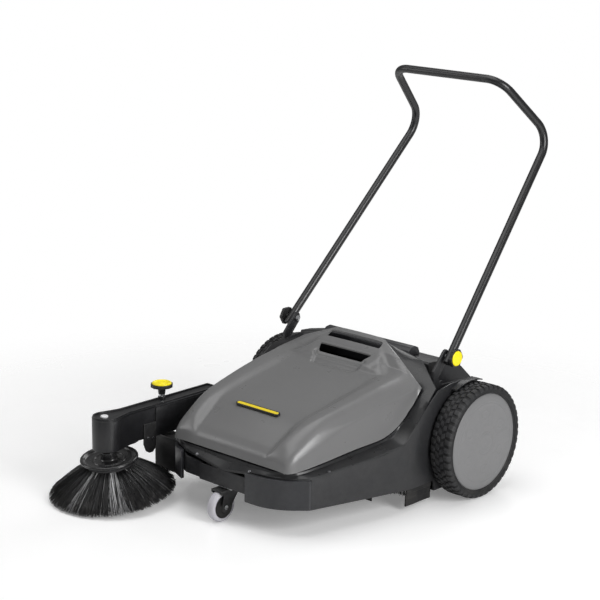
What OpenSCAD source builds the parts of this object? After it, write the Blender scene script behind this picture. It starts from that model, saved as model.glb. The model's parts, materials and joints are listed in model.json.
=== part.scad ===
// Walk-behind push sweeper: two large wheels drive a roller brush through gears,
// a round belt drives a tilted side brush on a lifting arm, and a waste container slides out at the back.
// Millimetres. +Z up, ground at z = 0, origin on the ground under the wheel axle, centre plane x = 0.
// The machine travels towards -Y. Its left side is +X.

/* [Wheels] */
// Outside diameter of the main wheels
wheel_d = 300; // [296:1:302]
// Width of each tyre
tyre_w = 63; // [55:1:66]
// Distance from the centre plane to the inner face of a tyre
tyre_in = 302; // [302:1:306]
// Stub axle diameter
axle_d = 20; // [16:1:22]

/* [Drive] */
// Gear module
gear_m = 4; // [4]
// Teeth on each wheel gear
gear_n = 54; // [54]
// Teeth on each roller pinion
pinion_n = 18; // [18]
// Height of the roller axis above the ground
roller_z = 115; // [115]
// Diameter over the roller bristles
roller_d = 228; // [180:1:228]

/* [Push handle] */
// Tube diameter
tube_d = 22; // [18:1:24]
// Height of the top of the handle
handle_top = 1050; // [950:5:1100]
// Half width at the crossbar
bar_half = 181; // [150:1:220]

/* [Side brush] */
// Forward tilt of the brush spindle in degrees
brush_tilt = 7; // [4:1:9]
// Radius at the bristle tips
brush_r = 165; // [130:1:168]
// Radius of the hub rim
hub_r = 75; // [60:1:78]
// Distance of the arm from the centre plane
arm_x = 313; // [313]

/* [Body] */
// Wall thickness of the housing
wall = 4; // [3:0.5:5]
// Thickness of the hood shell
hood_t = 3.5; // [2.5:0.5:4]

/* [Caster] */
// Caster wheel diameter
caster_d = 80; // [70:1:80]
// Caster wheel width
caster_w = 24; // [18:1:26]

/* [Hidden] */
$fn = 64;

// radial clearances
fit = 0.02;
slip = 0.05;

// radii of shafts, pins and the parts they run in
axle_r = axle_d / 2;
groove_r = 8.5; // ring groove of the stub axle
bush_r = 14;
sleeve_r = 20;
shaft_r = 10; // roller shaft
stub_r = 4.5; // shaft end that carries the drive pulley
bearing_r = 16;
core_r = 42;
bolt_r = 5; // handle bolt
pin_r = 6; // arm pivot
screw_r = 5; // height adjuster
spindle_r = 8;
spindle_bush_r = 12;
caster_axle_r = 4;
caster_pin_r = 6;
caster_rim_r = 30;

// the roller stands ahead of the axle at the gears' centre distance
wheel_r = wheel_d / 2;
roller_y = -sqrt(pow(gear_m * (gear_n + pinion_n) / 2, 2) - pow(wheel_r - roller_z, 2));
mesh_angle = atan2(roller_z - wheel_r, roller_y);
gear_x = 262;
gear_w = 18;

// axes that run along X, as [y, z]
axle = [0, wheel_r];
roller = [roller_y, roller_z];
handle_pivot = [-45, 370];
arm_pivot = [-338, 205];
caster_axis = [-592, caster_d / 2];

caster_y = -566; // caster swivel
brush_foot = [-arm_x, -672, 20]; // origin of the tilted brush frame
adjuster = [-328, -485]; // x, y of the height screw

moulded = [0.1, 0.1, 0.11];
knob_black = [0.06, 0.06, 0.06];
seal_black = [0.05, 0.05, 0.05];
rim_black = [0.12, 0.12, 0.13];
guard_grey = [0.13, 0.14, 0.16];
cover_grey = [0.5, 0.5, 0.51];
pulley_grey = [0.3, 0.3, 0.32];

// ---------- helpers ----------
// local z runs along +X, local x along +Y and local y along +Z; at is [y, z]
module along_x(x0 = 0, at = [0, 0]) translate([x0, 0, 0]) rotate([90, 0, 90]) translate(at) children();

// extrusion of width w along X, centred on x = 0
module across(w) along_x(-w / 2) linear_extrude(w) children();
module flipped() mirror([1, 0, 0]) children();
module both() {
  children();
  flipped() children();
}
module around(n) for (i = [0:n - 1]) rotate(i * 360 / n) children();
module at_brush() translate(brush_foot) rotate([brush_tilt, 0, 0]) children();
module at_adjuster(z = 0) translate([adjuster[0], adjuster[1], z]) children();

// children with a bore right through z = 0 to h
module bored(bore, h) difference() {
  union() children();
  translate([0, 0, -1]) cylinder(r = bore, h = h + 2);
}
module tube(r, bore, h) bored(bore, h) cylinder(r = r, h = h);

// disc with a bevelled top edge
module cap(r, top_r, h, bevel) {
  cylinder(r = r, h = h);
  translate([0, 0, h]) cylinder(r1 = r, r2 = top_r, h = bevel);
}

function unit(v) = v / norm(v);
function flip_x(p) = [-p[0], p[1], p[2]];
function polar(r, angle) = [r * cos(angle), r * sin(angle)];

// closed shell between two grids of points with the same rows and columns
module sheet(top, under) {
  rows = len(top);
  cols = len(top[0]);
  count = rows * cols;
  rim = concat([for (j = [0:cols - 1]) j],
    [for (i = [1:rows - 1]) i * cols + cols - 1],
    [for (j = [cols - 2:-1:0]) (rows - 1) * cols + j],
    [for (i = [rows - 2:-1:1]) i * cols]);
  polyhedron(
    points = concat([for (line = top) each line], [for (line = under) each line]),
    faces = concat(
      [for (i = [0:rows - 2]) for (j = [0:cols - 2]) let(a = i * cols + j, b = a + cols)
        each [[a, a + 1, b + 1], [a, b + 1, b]]],
      [for (i = [0:rows - 2]) for (j = [0:cols - 2]) let(a = count + i * cols + j, b = a + cols)
        each [[a, b + 1, a + 1], [a, b, b + 1]]],
      [for (i = [0:len(rim) - 1]) let(a = rim[i], b = rim[(i + 1) % len(rim)])
        each [[a, count + b, b], [a, count + a, count + b]]]));
}

// involute gear outline, tooth 0 centred on angle 0
pressure_angle = 20;
backlash = 0.35;
flank_steps = 3;
function involute(base_r, r) = let(t = sqrt(pow(r / base_r, 2) - 1)) t * 180 / PI - atan(t);
module gear_outline(teeth) {
  pitch_r = teeth * gear_m / 2;
  base_r = pitch_r * cos(pressure_angle);
  tip_r = pitch_r + 0.96 * gear_m;
  root_r = pitch_r - 1.25 * gear_m;
  // half angle of a tooth at the base circle
  half = 90 / teeth - backlash / pitch_r * 90 / PI + involute(base_r, pitch_r);
  start_r = max(base_r * 1.0005, root_r + 0.4);
  radii = [for (i = [0:flank_steps]) start_r + (tip_r - start_r) * i / flank_steps];
  polygon([for (k = [0:teeth - 1]) let(mid = k * 360 / teeth) each concat(
    [polar(root_r, mid - half - 0.1)],
    [for (r = radii) polar(r, mid - half + involute(base_r, r))],
    [for (i = [flank_steps:-1:0]) polar(radii[i], mid + half - involute(base_r, radii[i]))],
    [polar(root_r, mid + half + 0.1)])]);
}
module spur(teeth, turn, bore) bored(bore, gear_w)
  rotate(turn) linear_extrude(gear_w) gear_outline(teeth);

// ---------- lower housing ----------
inner_x = 250; // outer face of the inner side wall
// left half of the plan: x, y
half_plan = [[0, -588], [79.5, -588], [79.5, -580], [138, -578], [184, -557], [224, -519],
  [236, -516], [282, -312], [297, -225], [297, 118], [0, 118]];
inner_plan = [[-1, -584], [75.5, -584], [75.5, -576], [136.5, -574], [181.5, -553.5], [222, -515],
  [232.5, -512.5], [278, -311], [293, -224.5], [293, 130], [-1, 130]];
// side views: y, z
side_profile = [[-600, 90], [-560, 90], [-523, 70], [-312, 65], [-200, 60], [-122, 60], [-118, 32],
  [118, 32], [122, 60], [140, 60], [140, 190], [60, 270], [46, 296], [30, 306], [-60, 306],
  [-95, 300], [-110, 297], [-135, 279], [-160, 260], [-240, 182], [-312, 168], [-516, 150],
  [-530, 146], [-560, 146], [-576, 132], [-600, 132]];
inner_wall_profile = [[-300, 70], [-200, 62], [-125, 62], [-118, 32], [118, 32], [118, 200],
  [60, 268], [-40, 300], [-64, 296], [-150, 250], [-163, 243], [-200, 213], [-245, 184], [-300, 178]];
ear_profile = [[-93, 267], [-93, 336.9], [-55.3, 379.5], [-49, 385], [-42, 386], [-34, 381],
  [-31, 370], [-34.7, 360.5], [-75, 317], [-60, 296], [41, 290], [52, 272], [52, 267]];

module housing_side() {
  // outer wall cut to the side profile
  intersection() {
    translate([0, 0, 20]) linear_extrude(380) difference() {
      polygon(half_plan);
      polygon(inner_plan);
    }
    along_x(-1) linear_extrude(302) polygon(side_profile);
  }
  // inner wall that carries the axle and the roller
  along_x(inner_x - wall) linear_extrude(wall) polygon(inner_wall_profile);
  // gear case floor
  translate([249, -118, 32]) cube([46, 236, 3]);
  // web between the inner and outer walls at the back
  translate([249, 114, 32]) cube([46, 4, 160]);
  // inner ear plate of the handle pivot
  along_x(258) linear_extrude(7) polygon(ear_profile);
  // lip over the tyre
  intersection() {
    along_x(293, axle) tube(157, 154, 24, $fn = 96);
    translate([290, -62, 290]) cube([40, 106, 30]);
  }
  // top of the gear case
  translate([248, -145, 267]) cube([46, 197, 4]);
  // bosses
  along_x(inner_x, axle) cylinder(r = 24, h = 10);
  along_x(238.5, roller) cylinder(r = 24, h = 11);
}
module housing_middle() {
  cover_r = 123;
  shelf_z = roller_z - 8;
  // floor plate ahead of the roller
  intersection() {
    translate([0, 0, 90]) linear_extrude(wall) both() polygon(half_plan);
    translate([-300, -590, 0]) cube([600, 295, 200]);
  }
  // partition ahead of the roller
  translate([-250, -299, 66]) cube([500, wall, 70]);
  // curved roller cover and the shelf at its front
  intersection() {
    along_x(-248, roller) tube(cover_r + wall, cover_r, 496, $fn = 96);
    translate([-300, -300, shelf_z]) cube([600, 165, 200]);
  }
  translate([-248, -299, shelf_z]) cube([496, 36, 4]);
  // crossbar under the back of the hood
  translate([-250, -150, 244]) cube([500, 14, 26]);
}
module arm_boss() {
  along_x(-285, arm_pivot) cylinder(r = 14, h = 8.6);
  translate([-285, -362, 169]) cube([8, 25, 34]);
  translate([-281.8, -350, 150]) cube([5.4, 13, 55]);
  // foot that joins the boss to the wall
  translate([-281.8, -350, 150]) cube([10, 13, 14]);
}
module lower_housing() color([0.07, 0.07, 0.08]) difference() {
  union() {
    both() housing_side();
    housing_middle();
    arm_boss();
  }
  // bores
  both() {
    along_x(236, axle) cylinder(r = axle_r + fit, h = 30);
    along_x(285, axle) cylinder(r = 27, h = 20);
    along_x(236, roller) cylinder(r = bearing_r + fit, h = 20);
    along_x(250, handle_pivot) cylinder(r = bolt_r + fit, h = 60);
  }
  along_x(-292, arm_pivot) cylinder(r = pin_r + fit, h = 30);
  translate([0, caster_y, 80]) cylinder(r = caster_pin_r, h = 30);
  // belt window
  translate([-305, -312, 110]) cube([32, 142, 50]);
}

// ---------- hood ----------
// left half of the seam from the front centre to the back centre: inner edge, outer edge
seam_half = [
  [[0, -561, 162], [0, -587.5, 135.5]],
  [[140, -561, 162], [140, -574.5, 149.5]],
  [[190, -551, 162.5], [193, -551.5, 149.5]],
  [[206, -521, 163.5], [235.5, -518, 153.6]],
  [[224, -440, 174], [252.6, -440, 160.2]],
  [[236, -338, 185.5], [275.6, -338, 169.2]],
  [[244, -270, 190.5], [288.5, -270, 180.4]],
  [[248.5, -241, 200], [294, -242, 185.2]],
  [[250.3, -191, 229], [295.8, -191, 234.8]],
  [[252, -163, 258], [296.8, -163, 262.6]],
  [[257, -122, 300], [290, -112, 303]],
  [[176, -102, 346], [205, -67, 350]],
  [[86, -73.5, 378], [86, -67.5, 374]],
  [[0, -73.5, 380], [0, -67.5, 376]]];
frame_drop = [0, 0, -3]; // thickness of the frame, downwards
module hood_frame() color([0.09, 0.09, 0.1]) both() sheet(
  [for (edges = seam_half) [edges[1], edges[0]]],
  [for (edges = seam_half) [edges[1] + frame_drop, edges[0] + frame_drop]]);

// sections from front to back: y, then x and z from the left edge to the centre
stations = [
  [-565, [[190, 164.5], [185, 165.2], [150, 166], [110, 166], [0, 166]]],
  [-561, [[198, 164.5], [192, 187], [160, 192], [120, 188], [0, 189]]],
  [-545, [[208, 165.5], [200, 203], [170, 214], [130, 206], [0, 207]]],
  [-520, [[214, 168], [207, 214], [178, 235], [134, 223], [0, 225]]],
  [-456, [[227, 177], [218, 238], [192, 268], [139, 260], [0, 264]]],
  [-365, [[238, 188], [230, 257], [203, 289], [143, 281], [0, 283]]],
  [-270, [[248, 196], [239, 276], [212, 306], [142, 298], [0, 301]]],
  [-230, [[252, 210], [243, 284], [214, 313], [141, 306], [0, 310]]],
  [-191, [[255, 236], [247, 291], [214, 318], [140, 316], [0, 318]]],
  [-158, [[257, 268], [251, 298], [212, 323], [130, 334], [0, 334]]],
  [-130, [[257, 301], [246, 309], [204, 331], [112, 350], [0, 351]]],
  [-110, [[170, 353], [160, 358], [140, 360], [105, 362], [0, 363]]],
  [-77, [[86, 384], [80, 385.5], [70, 386.5], [60, 387], [0, 388]]]];
function outer_row(i) = let(half = [for (p = stations[i][1]) [p[0], stations[i][0], p[1]]])
  concat(half, [for (j = [len(half) - 2:-1:0]) flip_x(half[j])]);
// the three front rows also move back by the thickness
function inner_row(i) = [for (p = outer_row(i))
  [p[0] * (1 - hood_t / 240), p[1] + (i < 3 ? hood_t : 0), p[2] - hood_t]];
module hood() color([0.42, 0.42, 0.43]) difference() {
  last = len(stations) - 1;
  sheet([for (i = [last:-1:0]) outer_row(i)], [for (i = [last:-1:0]) inner_row(i)]);
  // two slots across the back
  translate([-86, -154, 320]) cube([172, 25, 42]);
  translate([-92, -105, 352]) cube([184, 19, 42]);
}
module hood_badge() color([0.85, 0.75, 0.1])
  translate([0, -461, 261.8]) rotate([25, 0, 0]) linear_extrude(2.2) {
    badge_w = 132;
    badge_h = 16;
    square([badge_w, badge_h], center = true);
    for (side = [-1, 1]) translate([side * badge_w / 2, 0]) circle(r = badge_h / 2);
  }

// ---------- guards, screws and seals ----------
// x, y outline shared by both guards, between their inboard ends
guard_bend = [[190, -567], [235, -523], [237, -516.5], [225, -519.8]];
module guard(front_end, back_end) translate([0, 0, 70]) linear_extrude(76)
  polygon(concat(front_end, guard_bend, back_end));
module left_corner_guard() color(guard_grey)
  guard([[80, -590], [138, -588.5]], [[184.6, -558], [138.2, -579], [80, -580.8]]);
module right_corner_guard() color(guard_grey) flipped()
  guard([[150, -584.5]], [[184.6, -558], [151, -573.4]]);

// the four screw places of the caster plate
module at_plate_screws() translate([0, caster_y, 0])
  for (x = [-25, 25]) for (y = [-13, 17]) translate([x, y, 0]) children();
module housing_screws() color("dimgray") {
  both() {
    translate([92, -583, 150]) rotate([55, 0, 0]) cylinder(r = 4, h = 3);
    translate([251, -470, 161]) cylinder(r = 4, h = 3);
  }
  at_plate_screws() translate([0, 0, 84.4]) cylinder(r = 5, h = 2, $fn = 6);
}
module side_seals() color(seal_black) both() translate([288.8, -222, 14]) cube([4, 96, 54]);
module front_flap() color(seal_black) translate([-244, -302.6, 38]) cube([488, 3.5, 51.9]);

// ---------- axles, bearings and pins ----------
module stub_axles() color("silver") both() along_x(238, axle) difference() {
  union() {
    cylinder(r = axle_r, h = 122);
    cylinder(r = 18, h = 7.5);
  }
  // ring groove
  translate([0, 0, 118.6]) tube(20, groove_r, 1.2);
}
module axle_rings() color("gray") both() along_x(356.7, axle) tube(15, groove_r + slip, 1);
module roller_bearings() color("silver") both()
  along_x(236.6, roller) bored(shaft_r + slip, 13) {
    cylinder(r = bearing_r, h = 13);
    cylinder(r = 20, h = 1.8);
  }
module handle_bolts() color("silver") both() along_x(253, handle_pivot) {
  cylinder(r = bolt_r, h = 45);
  cylinder(r = 9, h = 5, $fn = 6);
}
module arm_pivot_pin() color("silver") along_x(-338.5, arm_pivot) {
  cylinder(r = pin_r, h = 62);
  cylinder(r = 9, h = 3);
}

// x of the right housing wall between y = -516 and y = -312
function right_wall_x(y) = -236.4 - 0.2255 * (y + 516);
module arm_support() color(moulded) {
  front = adjuster[1] - 22;
  back = adjuster[1] + 22;
  translate([-340, front, 126]) cube([92, back - front, 6]);
  // flange that hangs behind the side brush
  translate([-335, adjuster[1] - 18.5, 38]) cube([83, 4, 90]);
  // block against the housing wall
  translate([0, 0, 100]) linear_extrude(30) polygon([[-254, front], [-254, back],
    [right_wall_x(back), back], [right_wall_x(front), front]]);
}

// ---------- round belt with a quarter turn ----------
belt_r = 2.5;
drive_wrap_r = 8;
brush_wrap_r = 12;
brush_pulley_z = 157; // in the brush frame
drive_pulley_at = [-288, roller_y, roller_z];
// point of the tilted brush frame in machine coordinates
function brush_point(p) = let(c = cos(brush_tilt), s = sin(brush_tilt))
  brush_foot + [p[0], p[1] * c - p[2] * s, p[1] * s + p[2] * c];
belt_path = concat(
  [for (a = [90:-30:-90]) drive_pulley_at + drive_wrap_r * [0, cos(a), sin(a)]],
  [for (a = [0:-30:-180])
    brush_point([brush_wrap_r * cos(a), brush_wrap_r * sin(a), brush_pulley_z])]);
module drive_belt() color([0.15, 0.15, 0.16]) for (i = [0:len(belt_path) - 1]) hull() {
  translate(belt_path[i]) sphere(r = belt_r, $fn = 12);
  translate(belt_path[(i + 1) % len(belt_path)]) sphere(r = belt_r, $fn = 12);
}

// grooved pulley centred on z = 0; the half values are half widths
module pulley(bore, inner_r, rim_r, groove_r, half, lip_half, groove_half) difference() {
  rotate_extrude() polygon([[inner_r, -half], [rim_r, -half], [rim_r, -lip_half],
    [groove_r, -groove_half], [groove_r, groove_half], [rim_r, lip_half], [rim_r, half],
    [inner_r, half]]);
  translate([0, 0, -half - 1]) cylinder(r = bore, h = 2 * half + 2);
}
module drive_pulley() color(pulley_grey) along_x(drive_pulley_at[0], roller)
  pulley(bore = stub_r + 0.01, inner_r = 4, rim_r = 10, groove_r = 5.2,
    half = 4.4, lip_half = 4, groove_half = 2.6);
module brush_pulley() color(pulley_grey) at_brush() translate([0, 0, brush_pulley_z])
  pulley(bore = spindle_r + fit, inner_r = 8, rim_r = 13.6, groove_r = 9.2,
    half = 7, lip_half = 5.6, groove_half = 3);

// ---------- waste container ----------
container_w = 450;
cavity_w = 442;
// side views: y, z
container_outer = [[-14, 40], [-6, 36], [168, 36], [178, 48], [182, 200], [150, 236], [112, 274],
  [72, 310], [30, 334], [-26, 344], [-62, 347], [-66, 342], [-66, 306], [-14, 250]];
container_inner = [[-20, 70], [-8, 40.5], [166, 40.5], [173.5, 50], [177.5, 198], [147, 232.5],
  [109, 270.5], [70, 305.5], [28, 329.5], [-27, 339.5], [-60, 342.3], [-61.5, 310], [-20, 262]];
container_mouth = [[-30, 92], [0, 92], [0, 262], [-30, 262]];
grip_profile = [[-58, 346.9], [-56, 360], [-46, 368], [-30, 370], [-16, 364], [-10, 352],
  [-10, 341.4], [-26, 344.2]];
module waste_container() color(moulded) difference() {
  across(container_w) polygon(container_outer);
  across(cavity_w) polygon(container_inner);
  across(cavity_w) polygon(container_mouth);
}
module container_grip() color([0.16, 0.16, 0.18]) across(300) polygon(grip_profile);
module container_lip() color(seal_black) {
  translate([-cavity_w / 2, -1.5, 0]) cube([cavity_w, 3, 34]);
  translate([-cavity_w / 2, -5.5, 33]) cube([cavity_w, 15, 2.9]);
}

// ---------- push handle ----------
// corners of the left tube centreline
handle_low = [278, handle_pivot[0], handle_pivot[1]];
handle_bend = [224, 425, 877];
handle_end = [bar_half, 256, handle_top - tube_d / 2];
bend_r = 62;
bar_bend_r = 55;

// arc of radius r that rounds the corner b between a and c:
// [start, end, centre, x axis, y axis, z axis, sweep angle]
function corner(a, b, c, r) = let(
  to_a = unit(a - b),
  to_c = unit(c - b),
  half = acos(to_a * to_c) / 2,
  setback = r / tan(half),
  centre = b + unit(to_a + to_c) * r / sin(half),
  x = unit(b + to_a * setback - centre),
  last = unit(b + to_c * setback - centre),
  z = unit(cross(x, last)),
  y = cross(z, x))
  [b + to_a * setback, b + to_c * setback, centre, x, y, z, 180 - 2 * half];
low_arc = corner(handle_low, handle_bend, handle_end, bend_r);
bar_arc = corner(handle_bend, handle_end, flip_x(handle_end), bar_bend_r);
handle_tail = handle_low - unit(handle_bend - handle_low) * 20;

// bent tube along an arc, a little thicker than the straight tubes
module elbow(arc, r, steps = 9, sides = 24) {
  ring_r = (tube_d / 2 + slip) / cos(180 / sides);
  polyhedron(
    points = [for (i = [0:steps]) for (j = [0:sides - 1]) let(
      turn = arc[6] * i / steps,
      a = j * 360 / sides,
      outward = arc[3] * cos(turn) + arc[4] * sin(turn))
      arc[2] + outward * (r + ring_r * cos(a)) + arc[5] * ring_r * sin(a)],
    faces = concat(
      [[for (j = [sides - 1:-1:0]) j]],
      [[for (j = [0:sides - 1]) steps * sides + j]],
      [for (i = [0:steps - 1]) for (j = [0:sides - 1]) let(
        a = i * sides + j,
        b = i * sides + (j + 1) % sides)
        each [[a, b + sides, a + sides], [a, b, b + sides]]]));
}
module rod(start, end, r) {
  run = end - start;
  length = norm(run);
  translate(start) rotate([0, acos(run[2] / length), atan2(run[1], run[0])])
    cylinder(r = r, h = length);
}
// 1 mm beyond q, coming from p, so that neighbours overlap
function past(p, q) = q + unit(q - p);
module straight(p, q) rod(past(q, p), past(p, q), tube_d / 2);
module push_handle() color([0.08, 0.08, 0.09]) difference() {
  union() {
    both() {
      rod(handle_tail, past(handle_tail, low_arc[0]), tube_d / 2);
      elbow(low_arc, bend_r);
      straight(low_arc[1], bar_arc[0]);
      elbow(bar_arc, bar_bend_r);
    }
    straight(bar_arc[1], flip_x(bar_arc[1]));
  }
  along_x(-300, handle_pivot) cylinder(r = bolt_r + slip, h = 600);
}

module star_knob() along_x(289.3, handle_pivot) difference() {
  union() {
    translate([0, 0, 2]) {
      cylinder(r = 22.3, h = 9);
      around(6) translate([18, 0, 0]) cylinder(r = 6.5, h = 9);
    }
    translate([0, 0, 0.9]) cylinder(r = 11, h = 3.1);
  }
  // blind bore from the inner face
  translate([0, 0, -1]) cylinder(r = bolt_r + slip, h = 10);
}
module knob_cap() along_x(300.4, handle_pivot) cap(r = 19.5, top_r = 16.5, h = 1.8, bevel = 1.4);
module left_star_knob() color(knob_black) star_knob();
module right_star_knob() color(knob_black) flipped() star_knob();
module left_knob_cap() color("gold") knob_cap();
module right_knob_cap() color("gold") flipped() knob_cap();

// ---------- wheels ----------
tyre_out = tyre_in + tyre_w;
// radius, x
rim_profile = [[bush_r, 285], [20, 285], [24, 300], [24, 326], [116, 322], [118, 307],
  [127.95, 307], [127.95, 357], [120, 357], [117, 330], [24, 334], [22, 356], [bush_r, 356]];
cover_profile = [[0, 363], [60, 362.5], [112, 360.5], [119, 357.2], [127.9, 357.2],
  [127.9, 359.5], [124, 363], [112, 365.2], [60, 367.4], [0, 368]];
module tyre() along_x(0, axle) rotate_extrude($fn = 96) difference() {
  polygon([[128, tyre_in + 4], [134, tyre_in], [144, tyre_in + 1],
    [wheel_r - 1.5, tyre_in + 5], [wheel_r, tyre_in + 12],
    [wheel_r, tyre_out - 12], [wheel_r - 1.5, tyre_out - 5],
    [144, tyre_out - 1], [134, tyre_out], [128, tyre_out - 4]]);
  // tread grooves
  for (offset_x = [-11.5, 0, 11.5])
    translate([wheel_r - 4, tyre_in + tyre_w / 2 + offset_x - 2]) square([6, 4]);
}
module rim() {
  along_x(0, axle) difference() {
    rotate_extrude($fn = 96) polygon(rim_profile);
    around(6) translate([72, 0, 300]) cylinder(r = 20, h = 60);
  }
  // sleeve that carries the gear
  along_x(260.4, axle) tube(sleeve_r, bush_r, 26);
}
module wheel_cover() along_x(0, axle) rotate_extrude($fn = 96) polygon(cover_profile);
module drive_gear() along_x(gear_x, axle) difference() {
  spur(gear_n, mesh_angle, sleeve_r + fit);
  around(6) rotate(30) translate([62, 0, -1]) cylinder(r = 22, h = gear_w + 2);
}
module bushes() for (x = [261, 335.5]) along_x(x, axle) tube(bush_r - fit, axle_r + slip, 20);
// turned so that a tooth gap faces the wheel gear
module pinion() along_x(gear_x, roller)
  spur(pinion_n, mesh_angle + 180 + 180 / pinion_n, shaft_r + slip);
module left_tyre() color(moulded) tyre();
module right_tyre() color(moulded) flipped() tyre();
module left_rim() color(rim_black) rim();
module right_rim() color(rim_black) flipped() rim();
module left_wheel_cover() color(cover_grey) wheel_cover();
module right_wheel_cover() color(cover_grey) flipped() wheel_cover();
module left_drive_gear() color("ivory") drive_gear();
module right_drive_gear() color("ivory") flipped() drive_gear();
module left_bushes() color("peru") bushes();
module right_bushes() color("peru") flipped() bushes();
module left_pinion() color("ivory") pinion();
module right_pinion() color("ivory") flipped() pinion();

// ---------- roller brush ----------
core_len = 466;
bristle_len = 462;
module roller_shaft() color("silver") {
  along_x(-281.5, roller) cylinder(r = shaft_r, h = 563);
  along_x(-292.2, roller) cylinder(r = stub_r, h = 12);
}
module roller_core() color([0.2, 0.2, 0.2]) along_x(-core_len / 2, roller)
  tube(core_r, shaft_r + fit, core_len);
module roller_bristles() color([0.3, 0.25, 0.1])
  along_x(-bristle_len / 2, roller) bored(core_r + slip, bristle_len) intersection() {
    tip = roller_d / 2 + 1;
    linear_extrude(bristle_len) around(8) polygon([[40, -5], [tip, -10], [tip, 10], [40, 5]]);
    cylinder(r = roller_d / 2, h = bristle_len);
  }

// ---------- side brush arm ----------
nose_y = -690;
arm_back = -312;
cover_z = 218; // top of the arm
bush_z = [118.2, 176.2]; // spindle bushes in the brush frame
// x, y plan with a nose of radius r and a straight part of half width w
module arm_plan(r, w, back) {
  translate([-arm_x, nose_y]) circle(r = r);
  translate([-arm_x - w, nose_y]) square([2 * w, back - nose_y]);
  polygon([[-arm_x - r + 0.2, nose_y + 2], [-arm_x - w, -630], [-arm_x + w, -630],
    [-arm_x + r - 0.2, nose_y + 2]]);
}
module arm_outline() {
  arm_plan(37, 22, arm_back);
  translate([-arm_x + 20, -543.9]) square([6.5, 231.9]);
}
module brush_arm() color([0.08, 0.08, 0.09]) difference() {
  union() {
    difference() {
      translate([0, 0, 138]) linear_extrude(cover_z - 138) arm_outline();
      // hollow, open at the back
      translate([0, 0, 144]) linear_extrude(90) {
        arm_plan(33, 18, -300);
        translate([-arm_x + 10, -541]) square([13.3, 244.5]);
      }
      // rising underside behind the nose
      along_x(-345) linear_extrude(70)
        polygon([[-640, 130], [-600, 142], [-470, 142], [-440, 130]]);
      // open underside where the belt enters
      translate([-331, -470, 130]) cube([41.3, 170, 16]);
    }
    at_brush() translate([0, 0, 118]) cylinder(r = 17, h = 24);
    along_x(-335, arm_pivot) cylinder(r = 13, h = 48.5);
    at_adjuster(142) cylinder(r = 10, h = 76);
  }
  at_brush() translate([0, 0, 100]) cylinder(r = spindle_bush_r + fit, h = 42.5);
  at_brush() translate([0, 0, 90]) cylinder(r = 26, h = 26);
  along_x(-350, arm_pivot) cylinder(r = pin_r + slip, h = 70);
  at_adjuster(120) cylinder(r = screw_r + slip, h = 110);
}
module brush_arm_cover() color(moulded) difference() {
  union() {
    translate([0, 0, cover_z + 0.1]) linear_extrude(4) {
      arm_outline();
      translate(adjuster) circle(r = 10);
    }
    // raised edge
    translate([0, 0, 222]) linear_extrude(4) difference() {
      arm_plan(35, 20, arm_back - 2);
      arm_plan(31, 16, arm_back - 6);
    }
    at_brush() translate([0, 0, 176]) cylinder(r = 17, h = 26);
    at_adjuster(222) cylinder(r = 10, h = 6);
  }
  at_brush() translate([0, 0, 170]) cylinder(r = spindle_bush_r + fit, h = 22);
  at_adjuster(200) cylinder(r = screw_r + slip, h = 60);
}
module arm_cap() color("gainsboro") translate([-arm_x, -697, 222.3])
  cap(r = 10, top_r = 8, h = 4, bevel = 1.5);
module arm_stop_plate() color(moulded) along_x(-290.8) linear_extrude(5)
  polygon([[-586, 182], [-586, 128], [-578, 108], [-568, 102], [-556, 102], [-548, 110],
    [-544, 128], [-544, 182]]);
module stop_plate_screws() color("silver")
  for (at = [[-573, 144], [-556, 141]]) along_x(-285.7, at) cylinder(r = 3.5, h = 2.5);

// ---------- side brush ----------
// radius, z in the brush frame
hub_profile = [[6, 76], [62, 76], [64, 86], [72, 86], [hub_r, 89], [hub_r, 93], [72, 96.5],
  [67, 95], [60, 88], [24, 88], [20, 92], [20, 112], [6, 112]];
bristle_profile = [[40, 75.5], [61, 75.5], [brush_r, 2.2], [brush_r - 4, 0.4],
  [brush_r - 26, 0.4], [46, 62]];
module spindle_bushes() color("peru") at_brush()
  for (z = bush_z) translate([0, 0, z]) tube(spindle_bush_r, spindle_r + slip, 15);
module brush_spindle() color("silver") at_brush()
  translate([0, 0, 84]) cylinder(r = spindle_r, h = 107);
module brush_hub() color(moulded) at_brush() difference() {
  rotate_extrude($fn = 96) polygon(hub_profile);
  translate([0, 0, 83.5]) cylinder(r = spindle_r + fit, h = 40);
}
module brush_bristles() color([0.12, 0.12, 0.12]) at_brush()
  rotate_extrude($fn = 96) polygon(bristle_profile);

// ---------- height adjuster of the side brush ----------
module height_screw() color("silver") at_adjuster(132.3) {
  cylinder(r = screw_r, h = 120);
  translate([0, 0, 96]) cylinder(r = 8.5, h = 6, $fn = 6);
}
module height_knob() color(knob_black) at_adjuster() difference() {
  union() {
    translate([0, 0, 235]) cylinder(r1 = 9, r2 = 11, h = 20);
    translate([0, 0, 254]) {
      cylinder(r = 28, h = 9);
      around(12) translate([26.5, 0, 0]) cylinder(r = 3, h = 9);
    }
  }
  translate([0, 0, 230]) cylinder(r = screw_r + fit, h = 23);
  // seat of the cap
  translate([0, 0, 261.5]) cylinder(r = 26, h = 5);
}
module height_knob_cap() color("gold") at_adjuster(261.6)
  cap(r = 25.9, top_r = 23, h = 4, bevel = 1.5);

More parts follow.
